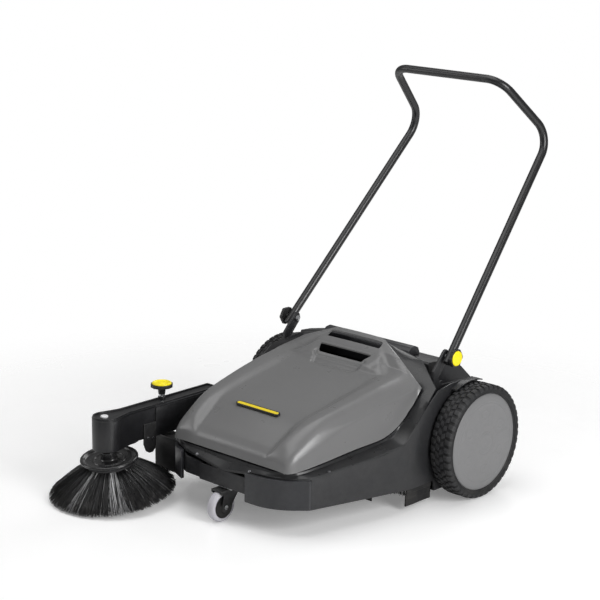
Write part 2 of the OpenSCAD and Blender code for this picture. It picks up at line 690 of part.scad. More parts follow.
// ---------- caster ----------
// side view of a fork cheek: y, z
fork_profile = [[-606, 84], [-544, 84], [-546, 76], [-578, 34], [-586, 28], [-598, 28],
  [-603, 34], [-603, 44], [-598, 70], [-606, 76]];
module caster_plate() color([0.2, 0.2, 0.21]) difference() {
  translate([0, caster_y, 0]) {
    translate([-32, -20, 86.5]) cube([64, 44, 3.4]);
    // swivel pin and its head
    translate([0, 0, 77.6]) cylinder(r = caster_pin_r, h = 24.4);
    translate([0, 0, 77.6]) cylinder(r = 9.5, h = 2.2);
  }
  at_plate_screws() translate([0, 0, 80]) cylinder(r = 3, h = 20);
}
module caster_fork() color([0.07, 0.07, 0.07]) difference() {
  union() {
    translate([-19, -606, 80]) cube([38, 62, 4]);
    for (x = [-19, 15]) along_x(x) linear_extrude(4) polygon(fork_profile);
    translate([0, caster_y, 80]) cylinder(r = 15, h = 6);
  }
  translate([0, caster_y, 60]) cylinder(r = caster_pin_r + slip, h = 40);
  along_x(-30, caster_axis) cylinder(r = caster_axle_r + fit, h = 60);
}
module caster_axle() color("silver") along_x(-21.5, caster_axis) {
  cylinder(r = caster_axle_r, h = 43);
  for (z = [0, 40.7]) translate([0, 0, z]) cylinder(r = 6.5, h = 2.3, $fn = 6);
}
module caster_hub() color(knob_black) along_x(-14, caster_axis) bored(caster_axle_r + slip, 28) {
  translate([0, 0, 14 - caster_w / 2]) cylinder(r = caster_rim_r - slip, h = caster_w);
  cylinder(r = 10, h = 28);
}
module caster_tyre() color([0.8, 0.8, 0.82]) along_x(0, caster_axis) rotate_extrude($fn = 96) {
  half = caster_w / 2;
  polygon([[caster_rim_r, -half], [37, -half], [caster_d / 2, -half + 5],
    [caster_d / 2, half - 5], [37, half], [caster_rim_r, half]]);
}

lower_housing();
hood_frame();
hood();
hood_badge();
left_corner_guard();
right_corner_guard();
housing_screws();
side_seals();
front_flap();
stub_axles();
axle_rings();
roller_bearings();
handle_bolts();
arm_pivot_pin();
arm_support();
drive_belt();
caster_plate();
waste_container();
container_grip();
container_lip();
push_handle();
left_star_knob();
left_knob_cap();
right_star_knob();
right_knob_cap();
left_tyre();
left_rim();
left_wheel_cover();
left_drive_gear();
left_bushes();
right_tyre();
right_rim();
right_wheel_cover();
right_drive_gear();
right_bushes();
roller_shaft();
roller_core();
roller_bristles();
left_pinion();
drive_pulley();
right_pinion();
brush_arm();
brush_arm_cover();
arm_cap();
arm_stop_plate();
stop_plate_screws();
spindle_bushes();
brush_spindle();
brush_pulley();
brush_hub();
brush_bristles();
height_screw();
height_knob();
height_knob_cap();
caster_fork();
caster_axle();
caster_hub();
caster_tyre();
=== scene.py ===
"""A push sweeper: grey hood on a black housing, two large wheels, a roller brush and one side brush.

Row frame, in millimetres: +X is the machine's left, -Y its front, +Z up, with the floor at Z = 0.
The wheel axle lies along X at Y = 0. The side brush is at the front right and the push handle
rises towards the rear. Meshes are scaled to metres as they are made; shaders, lights and the
camera use metres.
"""
import bpy, bmesh, json, math
from contextlib import contextmanager
import numpy as np
from mathutils import Vector, Matrix

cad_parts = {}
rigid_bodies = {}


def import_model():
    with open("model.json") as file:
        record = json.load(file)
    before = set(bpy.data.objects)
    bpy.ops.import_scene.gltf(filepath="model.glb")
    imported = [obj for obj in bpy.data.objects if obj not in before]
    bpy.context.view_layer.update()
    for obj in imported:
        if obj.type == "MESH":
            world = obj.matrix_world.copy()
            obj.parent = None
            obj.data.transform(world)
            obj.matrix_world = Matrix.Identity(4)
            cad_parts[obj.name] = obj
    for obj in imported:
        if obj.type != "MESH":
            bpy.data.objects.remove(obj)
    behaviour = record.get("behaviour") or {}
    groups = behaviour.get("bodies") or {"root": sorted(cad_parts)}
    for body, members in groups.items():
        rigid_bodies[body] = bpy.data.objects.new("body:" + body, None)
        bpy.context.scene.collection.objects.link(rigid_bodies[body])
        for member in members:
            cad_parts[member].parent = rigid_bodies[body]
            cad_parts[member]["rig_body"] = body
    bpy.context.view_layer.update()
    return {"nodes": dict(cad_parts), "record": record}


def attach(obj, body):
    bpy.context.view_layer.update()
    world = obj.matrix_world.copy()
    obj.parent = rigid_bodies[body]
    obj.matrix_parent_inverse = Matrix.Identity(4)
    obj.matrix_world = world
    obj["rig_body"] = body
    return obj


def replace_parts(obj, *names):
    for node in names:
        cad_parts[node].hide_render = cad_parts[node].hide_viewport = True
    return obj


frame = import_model()
NODES = frame["nodes"]
SLOT = {part["node"]: part["material_slot"] for part in frame["record"]["subparts"]}
MM = 0.001
rng = np.random.default_rng(11)
scene = bpy.context.scene

# Shared places
WHEEL_RADIUS = 150
ROLLER_Y, ROLLER_Z = -139.68, 115
BRUSH_CENTRE = (-313, -672, 20)
BRUSH_TILT = math.radians(7)
MIRROR_X = (-1, 1, 1)


# ------------------------------------------------------------------ shader helpers
class Shader:
    """A material with a Principled surface, and short ways to add nodes to it."""

    def __init__(self, name):
        self.material = bpy.data.materials.new(name)
        self.material.use_nodes = True
        self.tree = self.material.node_tree
        self.tree.nodes.clear()
        self.output = self.node("OutputMaterial")
        self.bsdf = self.node("BsdfPrincipled")
        self.feed(self.output.inputs[0], self.bsdf.outputs[0])
        self.position = self.node("TexCoord").outputs["Object"]

    def node(self, kind):
        return self.tree.nodes.new("ShaderNode" + kind)

    def feed(self, socket, value):
        """Links a socket, or sets a number or an RGB colour."""
        if isinstance(value, bpy.types.NodeSocket):
            self.tree.links.new(value, socket)
        elif isinstance(value, tuple):
            socket.default_value = (*value, 1)
        else:
            socket.default_value = value

    def surface(self, values):
        for name, value in values.items():
            self.feed(self.bsdf.inputs[name], value)

    def stretched(self, scale):
        n = self.node("Mapping")
        self.feed(n.inputs["Vector"], self.position)
        n.inputs["Scale"].default_value = scale
        return n.outputs[0]

    def noise(self, scale, detail=3, rough=0.55, at=None, distortion=0.0):
        n = self.node("TexNoise")
        self.feed(n.inputs["Vector"], at or self.position)
        n.inputs["Scale"].default_value = scale
        n.inputs["Detail"].default_value = detail
        n.inputs["Roughness"].default_value = rough
        n.inputs["Distortion"].default_value = distortion
        return n.outputs["Fac"]

    def remap(self, value, src, to=(0, 1)):
        n = self.node("MapRange")
        self.feed(n.inputs[0], value)
        for i, limit in enumerate((*src, *to)):
            n.inputs[i + 1].default_value = limit
        return n.outputs[0]

    def _math(self, operation, a, b):
        n = self.node("Math")
        n.operation = operation
        self.feed(n.inputs[0], a)
        self.feed(n.inputs[1], b)
        return n.outputs[0]

    def times(self, a, b):
        return self._math("MULTIPLY", a, b)

    def plus(self, a, b):
        return self._math("ADD", a, b)

    def mix(self, factor, a, b):
        n = self.node("Mix")
        n.data_type = "RGBA"
        self.feed(n.inputs[0], factor)
        self.feed(n.inputs[6], a)
        self.feed(n.inputs[7], b)
        return n.outputs[2]

    def bump(self, height, strength, distance, normal=None):
        n = self.node("Bump")
        n.inputs["Strength"].default_value = strength
        n.inputs["Distance"].default_value = distance
        self.feed(n.inputs["Height"], height)
        if normal is not None:
            self.feed(n.inputs["Normal"], normal)
        return n.outputs[0]

    def geometry(self, output):
        return self.node("NewGeometry").outputs[output]

    def z_of(self, vector):
        n = self.node("SeparateXYZ")
        self.feed(n.inputs[0], vector)
        return n.outputs["Z"]


# ------------------------------------------------------------------ materials
MATERIALS = {}


def moulded(name, base, rough, drift=0.1, drift_scale=7, grain=0.12, grain_scale=1400, wave=0.0,
            rough_drift=0.08, scratch=0.05, wear=0.0, worn=None, dust=0.0, spec=0.5,
            coat=0.0, coat_rough=0.2, subsurface=0.0):
    """Plastic or rubber: colour drift, grain, scratches, rubbed edges, dust low down."""
    g = Shader(name)
    base = np.array(base, float)
    broad = g.remap(g.noise(scale=drift_scale, detail=4, rough=0.6), src=(0.32, 0.68))
    light = tuple(np.minimum(base * (1 + drift), 1))
    colour = g.mix(broad, tuple(base * (1 - drift)), light)
    speckle = g.remap(g.noise(scale=drift_scale * 55, detail=2), src=(0.35, 0.65), to=(0, 0.35))
    colour = g.mix(speckle, colour, tuple(np.minimum(base * (1 + drift * 1.4), 1)))
    streaks = g.noise(scale=38, detail=3, rough=0.7, at=g.stretched((1.0, 16.0, 3.0)),
                      distortion=0.6)
    scratches = g.remap(streaks, src=(0.60, 0.72))
    if wear:
        patchy = g.remap(g.noise(scale=60, detail=4, rough=0.7), src=(0.38, 0.62), to=(0.25, 1))
        edges = g.times(g.remap(g.geometry("Pointiness"), src=(0.515, 0.60)), patchy)
        colour = g.mix(g.times(edges, wear), colour, worn)
    if dust:
        low = g.remap(g.z_of(g.position), src=(0.0, 0.30), to=(1.0, 0.12))
        upward = g.remap(g.z_of(g.geometry("Normal")), src=(-0.2, 1), to=(0.25, 1))
        clumps = g.remap(g.noise(scale=26, detail=5, rough=0.65), src=(0.4, 0.75))
        dusty = g.times(g.times(clumps, low), upward)
        colour = g.mix(g.times(dusty, dust), colour, (0.32, 0.30, 0.27))
    roughness = g.plus(g.remap(g.noise(scale=22, detail=4, rough=0.6), src=(0.25, 0.75),
                               to=(rough - rough_drift, rough + rough_drift)),
                       g.times(scratches, scratch))
    if dust:
        roughness = g.plus(roughness, g.times(dusty, dust * 0.5))
    height = g.times(g.noise(scale=grain_scale, detail=2, rough=0.6), 1.0)
    normal = g.bump(height, strength=grain, distance=0.0004)
    normal = g.bump(scratches, strength=scratch * 0.6, distance=0.00015, normal=normal)
    if wave:
        swell = g.noise(scale=9, detail=1, rough=0.4)
        normal = g.bump(swell, strength=wave, distance=0.004, normal=normal)
    g.surface({"Base Color": colour, "Roughness": roughness, "Normal": normal, "IOR": 1.5,
               "Specular IOR Level": spec, "Coat Weight": coat, "Coat Roughness": coat_rough})
    if subsurface:
        g.bsdf.inputs["Subsurface Weight"].default_value = subsurface
        g.bsdf.inputs["Subsurface Radius"].default_value = (0.002, 0.002, 0.001)
    MATERIALS[name] = g.material


def turned_metal(name, base, rough):
    """Metal with fine turning lines across X and darker stains."""
    drift = 0.08
    g = Shader(name)
    base = np.array(base, float)
    lines = g.noise(scale=900, detail=2, rough=0.5, at=g.stretched((1.0, 0.06, 0.06)))
    blotches = g.remap(g.noise(scale=35, detail=4, rough=0.65), src=(0.35, 0.7))
    colour = g.mix(blotches, tuple(base * (1 - drift)), tuple(base * (1 + drift * 0.5)))
    spots = g.remap(g.noise(scale=90, detail=5, rough=0.7), src=(0.58, 0.75))
    stain = g.times(spots, 0.35)
    colour = g.mix(stain, colour, tuple(base * 0.45))
    line_rough = g.remap(lines, src=(0.3, 0.7), to=(rough - 0.1, rough + 0.1))
    g.surface({"Base Color": colour, "Metallic": 1.0,
               "Roughness": g.plus(line_rough, g.times(stain, 0.4)),
               "Normal": g.bump(lines, strength=0.15, distance=0.0002)})
    MATERIALS[name] = g.material


def bristle(name, tones, rough):
    """Each strand is coloured by its 'tone' attribute; tones are (position, colour) stops."""
    g = Shader(name)
    tone = g.node("Attribute")
    tone.attribute_name = "tone"
    ramp = g.node("ValToRGB")
    stops = ramp.color_ramp.elements
    for stop, (position, colour) in ((stops[0], tones[0]), (stops[1], tones[-1])):
        stop.position, stop.color = position, (*colour, 1)
    for position, colour in tones[1:-1]:
        stops.new(position).color = (*colour, 1)
    g.feed(ramp.inputs[0], tone.outputs["Fac"])
    low = g.remap(g.z_of(g.position), src=(0.0, 0.06), to=(0.35, 0.0))
    tip_dust = g.times(low, g.remap(g.noise(scale=60, detail=4), src=(0.4, 0.7)))
    g.surface({"Base Color": g.mix(tip_dust, ramp.outputs[0], (0.16, 0.15, 0.14)),
               "Roughness": g.remap(g.noise(scale=120, detail=2), src=(0.3, 0.7),
                                    to=(rough - 0.08, rough + 0.12)),
               "Normal": g.bump(g.noise(scale=2500, detail=1), strength=0.1, distance=0.0002),
               "Specular IOR Level": 0.55})
    MATERIALS[name] = g.material


moulded("hood_grey", base=(0.150, 0.150, 0.151), rough=0.30, drift=0.035, drift_scale=4,
        grain=0.05, grain_scale=1100, wave=0.03, rough_drift=0.04, scratch=0.05, wear=0.25,
        worn=(0.25, 0.25, 0.25), dust=0.04, coat=0.12, coat_rough=0.22)
moulded("housing_black", base=(0.0125, 0.0128, 0.0142), rough=0.40, drift=0.14, grain=0.16,
        rough_drift=0.06, wear=0.35, worn=(0.06, 0.06, 0.065), dust=0.10)
moulded("frame_black", base=(0.0115, 0.0118, 0.013), rough=0.30, drift=0.12, grain=0.07,
        rough_drift=0.06, wear=0.3, worn=(0.06, 0.06, 0.065), dust=0.05)
moulded("guard_black", base=(0.0185, 0.0192, 0.022), rough=0.36, grain=0.14,
        rough_drift=0.05, scratch=0.12, wear=0.5, worn=(0.09, 0.09, 0.1), dust=0.08)
moulded("badge", base=(0.86, 0.66, 0.012), rough=0.25, drift=0.03, grain=0.03,
        rough_drift=0.03, coat=0.4)
moulded("badge_plate", base=(0.012, 0.012, 0.012), rough=0.28, drift=0.08, grain=0.03)
turned_metal("zinc_screw", base=(0.20, 0.20, 0.21), rough=0.38)
turned_metal("steel", base=(0.52, 0.53, 0.54), rough=0.30)
moulded("seal_rubber", base=(0.010, 0.010, 0.0105), rough=0.62, drift=0.2, grain=0.3,
        grain_scale=700, rough_drift=0.1, wave=0.1, dust=0.22, spec=0.35)
moulded("belt", base=(0.02, 0.02, 0.021), rough=0.5, drift=0.15, grain=0.2, dust=0.1)
moulded("container_black", base=(0.0150, 0.0153, 0.0170), rough=0.38, drift=0.12, grain=0.14,
        wear=0.3, worn=(0.07, 0.07, 0.075), dust=0.06)
moulded("grip_black", base=(0.020, 0.0204, 0.023), rough=0.36, grain=0.14, wear=0.3,
        worn=(0.08, 0.08, 0.085))
moulded("handle_black", base=(0.0085, 0.0085, 0.0093), rough=0.33, grain=0.28,
        grain_scale=900, rough_drift=0.05, scratch=0.04, wear=0.2, worn=(0.08, 0.08, 0.08),
        coat=0.15, coat_rough=0.25)
moulded("knob_black", base=(0.0095, 0.0095, 0.010), rough=0.42, drift=0.12, grain=0.2,
        wear=0.3, worn=(0.06, 0.06, 0.06))
moulded("knob_yellow", base=(1.0, 0.80, 0.002), rough=0.36, drift=0.03, grain=0.06,
        rough_drift=0.05, scratch=0.03, wear=0.1, worn=(1, 0.9, 0.3), subsurface=0.05)
moulded("tyre", base=(0.0090, 0.0092, 0.0102), rough=0.60, drift=0.18, drift_scale=16,
        grain=0.35, grain_scale=600, rough_drift=0.1, wear=0.55, worn=(0.055, 0.055, 0.058),
        dust=0.16, spec=0.4)
moulded("rim_black", base=(0.014, 0.014, 0.0155), rough=0.45, drift=0.12, grain=0.15, dust=0.1)
moulded("cover_grey", base=(0.182, 0.182, 0.185), rough=0.47, drift=0.03, drift_scale=5,
        grain=0.10, grain_scale=1200, rough_drift=0.05, scratch=0.06, wear=0.3,
        worn=(0.34, 0.34, 0.34), dust=0.10)
moulded("gear_nylon", base=(0.66, 0.62, 0.52), rough=0.45, drift=0.05, grain=0.06, wear=0.2,
        worn=(0.8, 0.78, 0.7), dust=0.2, subsurface=0.1)
turned_metal("bush_bronze", base=(0.46, 0.27, 0.11), rough=0.38)
moulded("roller_plastic", base=(0.03, 0.03, 0.031), rough=0.5, grain=0.15, dust=0.2)
moulded("pulley", base=(0.06, 0.06, 0.064), rough=0.45, grain=0.1, dust=0.1)
moulded("arm_black", base=(0.0100, 0.0102, 0.0115), rough=0.34, drift=0.12, grain=0.10,
        rough_drift=0.05, wear=0.4, worn=(0.07, 0.07, 0.075), dust=0.07)
moulded("cap_light", base=(0.78, 0.78, 0.79), rough=0.25, drift=0.03, grain=0.03)
moulded("bracket_black", base=(0.010, 0.010, 0.011), rough=0.40, grain=0.2, wear=0.4,
        worn=(0.1, 0.1, 0.1), dust=0.1)
moulded("hub_black", base=(0.0125, 0.0125, 0.0135), rough=0.24, grain=0.05,
        rough_drift=0.05, wear=0.3, worn=(0.07, 0.07, 0.07), dust=0.05, coat=0.2,
        coat_rough=0.15)
moulded("hub_band", base=(0.045, 0.045, 0.047), rough=0.5, grain=0.15, dust=0.1)
moulded("caster_black", base=(0.009, 0.009, 0.0098), rough=0.36, wear=0.4,
        worn=(0.09, 0.09, 0.09), dust=0.1)
moulded("caster_hub", base=(0.010, 0.010, 0.0105), rough=0.32, grain=0.08, wear=0.2,
        worn=(0.08, 0.08, 0.08), dust=0.1)
moulded("caster_tread", base=(0.50, 0.49, 0.53), rough=0.45, drift=0.05,
        rough_drift=0.06, scratch=0.06, dust=0.18, subsurface=0.05)
bristle("side_bristle", rough=0.38,
        tones=[(0.0, (0.006, 0.006, 0.0065)), (0.55, (0.013, 0.013, 0.014)),
               (0.8, (0.10, 0.10, 0.105)), (1.0, (0.72, 0.72, 0.73))])
bristle("roller_bristle", rough=0.5,
        tones=[(0.0, (0.010, 0.010, 0.010)), (0.7, (0.04, 0.038, 0.036)),
               (1.0, (0.12, 0.11, 0.10))])


# ------------------------------------------------------------------ points and curves
def fade(value, zero_at, one_at):
    """Linear ramp from 0 to 1, held at both ends."""
    return np.clip((value - zero_at) / (one_at - zero_at), 0, 1)


def lerp(a, b, t):
    return a * (1 - t) + b * t


def between(a, b, count):
    """Points evenly spaced from a to b, without the two ends."""
    return [lerp(a, b, t) for t in np.linspace(0, 1, count)[1:-1]]


def arc(start, corner, end, t):
    """Quadratic curve from start to end, pulled towards the corner."""
    return start * (1 - t) ** 2 + corner * 2 * t * (1 - t) + end * t * t


def polar(radius, angle, z):
    return (radius * math.cos(angle), radius * math.sin(angle), z)


def same(point):
    return point


def fillet_ends(before, corner, after, reach, limit):
    """Where a fillet leaves its two sides; limit caps the reach as a share of each side."""
    ends = []
    for other in (before, after):
        side = np.linalg.norm(other - corner)
        ends.append(corner + (other - corner) * min(reach, side * limit) / max(side, 1e-6))
    return ends


def rounded(rows, steps):
    """Closed polygon with fillets; rows are (first, second, fillet reach)."""
    points = [np.array(row[:2], float) for row in rows]
    out = []
    for i, point in enumerate(points):
        reach = rows[i][2]
        if reach == 0:
            out.append(point)
            continue
        start, end = fillet_ends(points[i - 1], point, points[(i + 1) % len(points)], reach, 0.48)
        out += [arc(start, point, end, t) for t in np.linspace(0, 1, steps)]
    return out


def mirrored(rows, middle=0):
    """The rows in reverse order, with the second column mirrored about the middle."""
    return [(row[0], 2 * middle - row[1], *row[2:]) for row in reversed(rows)]


def lengths_along(points):
    return np.concatenate([[0], np.cumsum(np.linalg.norm(np.diff(points, axis=0), axis=1))])


def monotone(knots, values, at):
    """Monotone cubic through values (one row per knot), sampled at the given places."""
    knots, values = np.asarray(knots, float), np.asarray(values, float)
    gap = np.diff(knots)[:, None]
    slope = np.diff(values, axis=0) / gap
    safe = np.where(slope == 0, 1, slope)
    g0, g1 = gap[:-1], gap[1:]
    tangent = np.zeros_like(values)
    harmonic = 3 * (g0 + g1) / ((2 * g1 + g0) / safe[:-1] + (g1 + 2 * g0) / safe[1:])
    tangent[1:-1] = np.where(slope[:-1] * slope[1:] > 0, harmonic, 0)
    tangent[0], tangent[-1] = slope[0], slope[-1]
    i = np.clip(np.searchsorted(knots, at, "right") - 1, 0, len(knots) - 2)
    width = (knots[i + 1] - knots[i])[:, None]
    s = ((at - knots[i]) / (knots[i + 1] - knots[i]))[:, None]
    return (values[i] * (1 + 2 * s) * (1 - s) ** 2 + tangent[i] * width * s * (1 - s) ** 2
            + values[i + 1] * s * s * (3 - 2 * s) + tangent[i + 1] * width * s * s * (s - 1))


# ------------------------------------------------------------------ mesh helpers
def link(obj):
    scene.collection.objects.link(obj)
    return obj


@contextmanager
def editing(mesh):
    bm = bmesh.new()
    bm.from_mesh(mesh)
    yield bm
    bm.to_mesh(mesh)
    bm.free()


def grid_faces(rows, cols, wrap_rows=False, wrap_cols=False, start=0):
    faces = []
    for i in range(rows if wrap_rows else rows - 1):
        here, there = start + i * cols, start + (i + 1) % rows * cols
        for j in range(cols if wrap_cols else cols - 1):
            k = (j + 1) % cols
            faces.append((here + j, here + k, there + k, there + j))
    return faces


def mesh_object(name, verts, faces, materials, material_index=None):
    """Smooth-shaded mesh; materials is a material name or a tuple of names."""
    mesh = bpy.data.meshes.new(name)
    points = (np.asarray(verts, float) * MM).tolist()
    mesh.from_pydata(points, [], [tuple(map(int, face)) for face in faces])
    for material in ((materials,) if isinstance(materials, str) else materials):
        mesh.materials.append(MATERIALS[material])
    if material_index is not None:
        mesh.polygons.foreach_set("material_index", np.asarray(material_index, np.int32))
    mesh.polygons.foreach_set("use_smooth", [True] * len(mesh.polygons))
    mesh.update()
    return link(bpy.data.objects.new(name, mesh))


def tidy(obj, sharp=None):
    """Merges doubles, turns normals outwards and marks edges sharper than an angle."""
    with editing(obj.data) as bm:
        bmesh.ops.remove_doubles(bm, verts=bm.verts, dist=2e-6)
        bmesh.ops.recalc_face_normals(bm, faces=bm.faces)
    if sharp:
        obj.data.set_sharp_from_angle(angle=math.radians(sharp))
    return obj


def face_up(obj):
    """Turns an open sheet so that it faces upwards on the whole."""
    with editing(obj.data) as bm:
        if sum(face.normal.z * face.calc_area() for face in bm.faces) < 0:
            bmesh.ops.reverse_faces(bm, faces=bm.faces)


def thicken(obj, thickness):
    skin = obj.modifiers.new("skin", "SOLIDIFY")
    skin.thickness, skin.offset = thickness * MM, -1


def bevel(obj, width, segments, angle):
    m = obj.modifiers.new("edge", "BEVEL")
    m.width, m.segments = width * MM, segments
    m.limit_method, m.angle_limit = "ANGLE", math.radians(angle)
    m.harden_normals, m.use_clamp_overlap, m.miter_outer = True, True, "MITER_ARC"
    return obj


def bake(obj):
    """Applies the modifiers."""
    depsgraph = bpy.context.evaluated_depsgraph_get()
    mesh = bpy.data.meshes.new_from_object(obj.evaluated_get(depsgraph))
    obj.modifiers.clear()
    obj.data = mesh


def stand_for(obj, node):
    """The object takes the place of a CAD piece."""
    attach(obj, NODES[node]["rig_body"])
    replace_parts(obj, node)


def lathe(name, profile, materials, place, segments, sharp, row_material=None):
    """Closed profile of (radius, height) turned round local z; place maps to the row frame."""
    verts = [place(polar(radius, 2 * math.pi * j / segments, z))
             for radius, z in profile for j in range(segments)]
    faces = grid_faces(len(profile), segments, wrap_rows=True, wrap_cols=True)
    index = np.repeat(row_material or [0] * len(profile), segments)
    return tidy(mesh_object(name, verts, faces, materials, index), sharp)


def extrude(name, outline, place, low, high, material):
    """Closed outline extruded along local z."""
    n = len(outline)
    verts = [place((p[0], p[1], z)) for z in (low, high) for p in outline]
    faces = [tuple(range(n - 1, -1, -1)), tuple(range(n, 2 * n))]
    faces += grid_faces(2, n, wrap_cols=True)
    return tidy(mesh_object(name, verts, faces, material))


def tube(name, path, radius, material, segments, closed=False):
    """Round tube along a path; an open one gets slightly domed ends."""
    path = np.array(path, float)
    n = len(path)
    along = np.zeros_like(path)
    for i in range(n):
        if closed:
            a, b = path[i - 1], path[(i + 1) % n]
        else:
            a, b = path[max(i - 1, 0)], path[min(i + 1, n - 1)]
        along[i] = (b - a) / np.linalg.norm(b - a)
    side = np.cross(along[0], (0, 0, 1.0) if abs(along[0][2]) < 0.9 else (0, 1.0, 0))
    verts = []
    for i in range(n):
        side = side - along[i] * (side @ along[i])
        side /= np.linalg.norm(side)
        up = np.cross(along[i], side)
        for j in range(segments):
            a = 2 * math.pi * j / segments
            verts.append(path[i] + radius * (math.cos(a) * side + math.sin(a) * up))
    faces = grid_faces(n, segments, wrap_rows=closed, wrap_cols=True)
    if not closed:
        for end, sign in ((0, -1), (n - 1, 1)):
            base = end * segments
            previous = list(range(base, base + segments))
            for shrink in (0.93, 0.7, 0.35):
                centre = path[end] + along[end] * sign * radius * 0.25 * (1 - shrink) * 1.2
                ring = list(range(len(verts), len(verts) + segments))
                for j in range(segments):
                    verts.append(centre + (verts[base + j] - path[end]) * shrink)
                for j in range(segments):
                    k = (j + 1) % segments
                    faces.append((previous[j], previous[k], ring[k], ring[j]))
                previous = ring
            faces.append(tuple(previous))
    return tidy(mesh_object(name, verts, faces, material), 50)


def strands(name, bristles, material, steps):
    """Thin tapering three-sided strands; bristles are (root, middle, tip, radius, tone)."""
    sides = 3
    roots, middles, tips, radii, tones = map(np.array, zip(*bristles))
    t = np.linspace(0, 1, steps + 1)[None, :, None]
    path = arc(roots[:, None], middles[:, None], tips[:, None], t)
    along = np.gradient(path, axis=1)
    along /= np.linalg.norm(along, axis=2, keepdims=True)
    side = np.cross(along, np.array([0.31, 0.17, 0.93]))
    side /= np.linalg.norm(side, axis=2, keepdims=True)
    up = np.cross(along, side)
    taper = np.linspace(1, 0.7, steps + 1)[None, :, None]
    rings = []
    for k in range(sides):
        a = 2 * math.pi * k / sides
        offset = math.cos(a) * side + math.sin(a) * up
        rings.append(path + offset * radii[:, None, None] * taper)
    verts = np.stack(rings, axis=2).reshape(-1, 3)
    per_strand = (steps + 1) * sides
    first = np.arange(len(roots)) * per_strand
    one = np.array(grid_faces(steps + 1, sides, wrap_cols=True))
    cap = np.arange(sides) + steps * sides
    faces = (one[None] + first[:, None, None]).reshape(-1, 4).tolist()
    faces += (cap[None] + first[:, None]).tolist()
    obj = mesh_object(name, verts, faces, material)
    attribute = obj.data.attributes.new("tone", "FLOAT", "POINT")
    attribute.data.foreach_set("value", np.repeat(tones, per_strand).astype(np.float32))
    obj.data.update()
    return obj


# ------------------------------------------------------------------ hood
# Right-to-left sections are mirrored from these half sections, front to rear.
# Columns: y, then (x, z) of edge, shoulder, lobe, recess border and centre.
HOOD_STATIONS = [
    (-565, (190, 164.5), (185, 165.4), (154, 166.4), (112, 166.2), (0, 166.5)),
    (-561, (198, 164.5), (192, 187), (160, 193), (118, 187), (0, 188)),
    (-545, (208, 165.5), (200, 203), (170, 215), (130, 206), (0, 207)),
    (-520, (214, 168), (207, 214), (178, 235.5), (134, 223), (0, 225)),
    (-456, (227, 177), (218, 238), (192, 269), (139, 259.5), (0, 263.5)),
    (-365, (238, 188), (230, 257), (203, 290), (143, 280), (0, 283)),
    (-270, (248, 196), (239, 276), (212, 307), (142, 298), (0, 301)),
    (-230, (252, 210), (243, 284), (214, 313.5), (141, 305.5), (0, 309.5)),
    (-191, (255, 236), (247, 291), (214, 318.5), (140, 315.5), (0, 317.5)),
    (-179, (255.7, 248), (248.4, 294), (214, 320), (137, 318.5), (0, 320.5)),
    (-166, (256.5, 260), (250, 296.5), (213, 322), (133, 331), (0, 331)),
    (-158, (257, 268), (251, 298), (212, 323.5), (130, 335.5), (0, 335)),
    (-130, (257, 301), (246, 309), (204, 331), (112, 350), (0, 351)),
    (-110, (170, 353), (160, 357.5), (140, 360.5), (100, 362), (0, 363)),
    (-77, (86, 384), (80, 385.6), (70, 386.8), (55, 387.4), (0, 388)),
]
# Rows per gap between stations over the curved part; the gaps behind it are straight.
HOOD_CURVED_ROWS = [8, 8, 8, 10, 12, 12, 8, 8, 4, 5, 4, 8]
HOOD_STRAIGHT_ROWS = 10
# Across a section: points per corner, and spans between corners
CORNER_POINTS = [1, 9, 9, 9, 9, 17, 9, 9, 9, 9, 1]
CORNER_SPANS = [5, 3, 3, 3, 22, 22, 3, 3, 3, 5]
# Cutters for the front and rear slots: (x, y, fillet) outline, then bottom and top z
HOOD_SLOTS = [
    ([(-76, -153.5, 5), (76, -153.5, 5), (90, -130, 6), (-90, -130, 6)], 306, 376),
    ([(-92, -105, 5), (92, -105, 5), (90, -86.5, 6), (-90, -86.5, 6)], 345, 404),
]


def hood_rows():
    """Half sections at close stations, each five points from edge to centre."""
    stations = np.array([[(x, row[0], z) for x, z in row[1:]] for row in HOOD_STATIONS])
    last = len(HOOD_CURVED_ROWS)
    curved = stations[:last + 1]
    knots = lengths_along(curved[:, 4])
    at = [np.linspace(knots[i], knots[i + 1], count, endpoint=False)
          for i, count in enumerate(HOOD_CURVED_ROWS)]
    at = np.unique(np.concatenate(at + [[knots[last]]]))
    rows = [monotone(knots, curved.reshape(last + 1, -1), at).reshape(-1, 5, 3)]
    for i in range(last, len(stations) - 1):
        for t in np.linspace(0, 1, HOOD_STRAIGHT_ROWS + 1)[1:]:
            rows.append(lerp(stations[i], stations[i + 1], t)[None])
    return np.concatenate(rows)


def hood_section(row):
    """Full section from the -X edge to the +X edge, with filleted corners."""
    edge, shoulder, lobe, border, centre = row
    y = centre[1]
    lift = 1.2 * fade(y, -166, -186) * fade(y, -565, -545)
    slope = np.array([border[0] + (lobe[0] - border[0]) * 0.36, y,
                      border[2] + (lobe[2] - border[2]) * 0.86 + lift])
    half = [edge, shoulder, lobe, slope, border]
    points = [p * MIRROR_X for p in half] + [centre] + half[::-1]
    # fillets grow on the shoulder towards the front and shrink elsewhere at the rear
    front, rear = fade(y, -365, -515), fade(y, -130, -77)
    reach = [0, 4.5 + 24 * front, 26 * (1 - 0.7 * rear), 9 * (1 - 0.6 * rear),
             8 * (1 - 0.6 * rear)]
    reach = reach + [70] + reach[::-1]
    corners = [(points[0],) * 3]
    for i in range(1, len(points) - 1):
        start, end = fillet_ends(points[i - 1], points[i], points[i + 1], reach[i], 0.45)
        corners.append((start, points[i], end))
    corners.append((points[-1],) * 3)
    out = []
    for i, corner in enumerate(corners):
        out += [arc(*corner, t) for t in np.linspace(0, 1, CORNER_POINTS[i])]
        if i < len(CORNER_SPANS):
            out += between(corner[2], corners[i + 1][0], CORNER_SPANS[i] + 1)
    return out


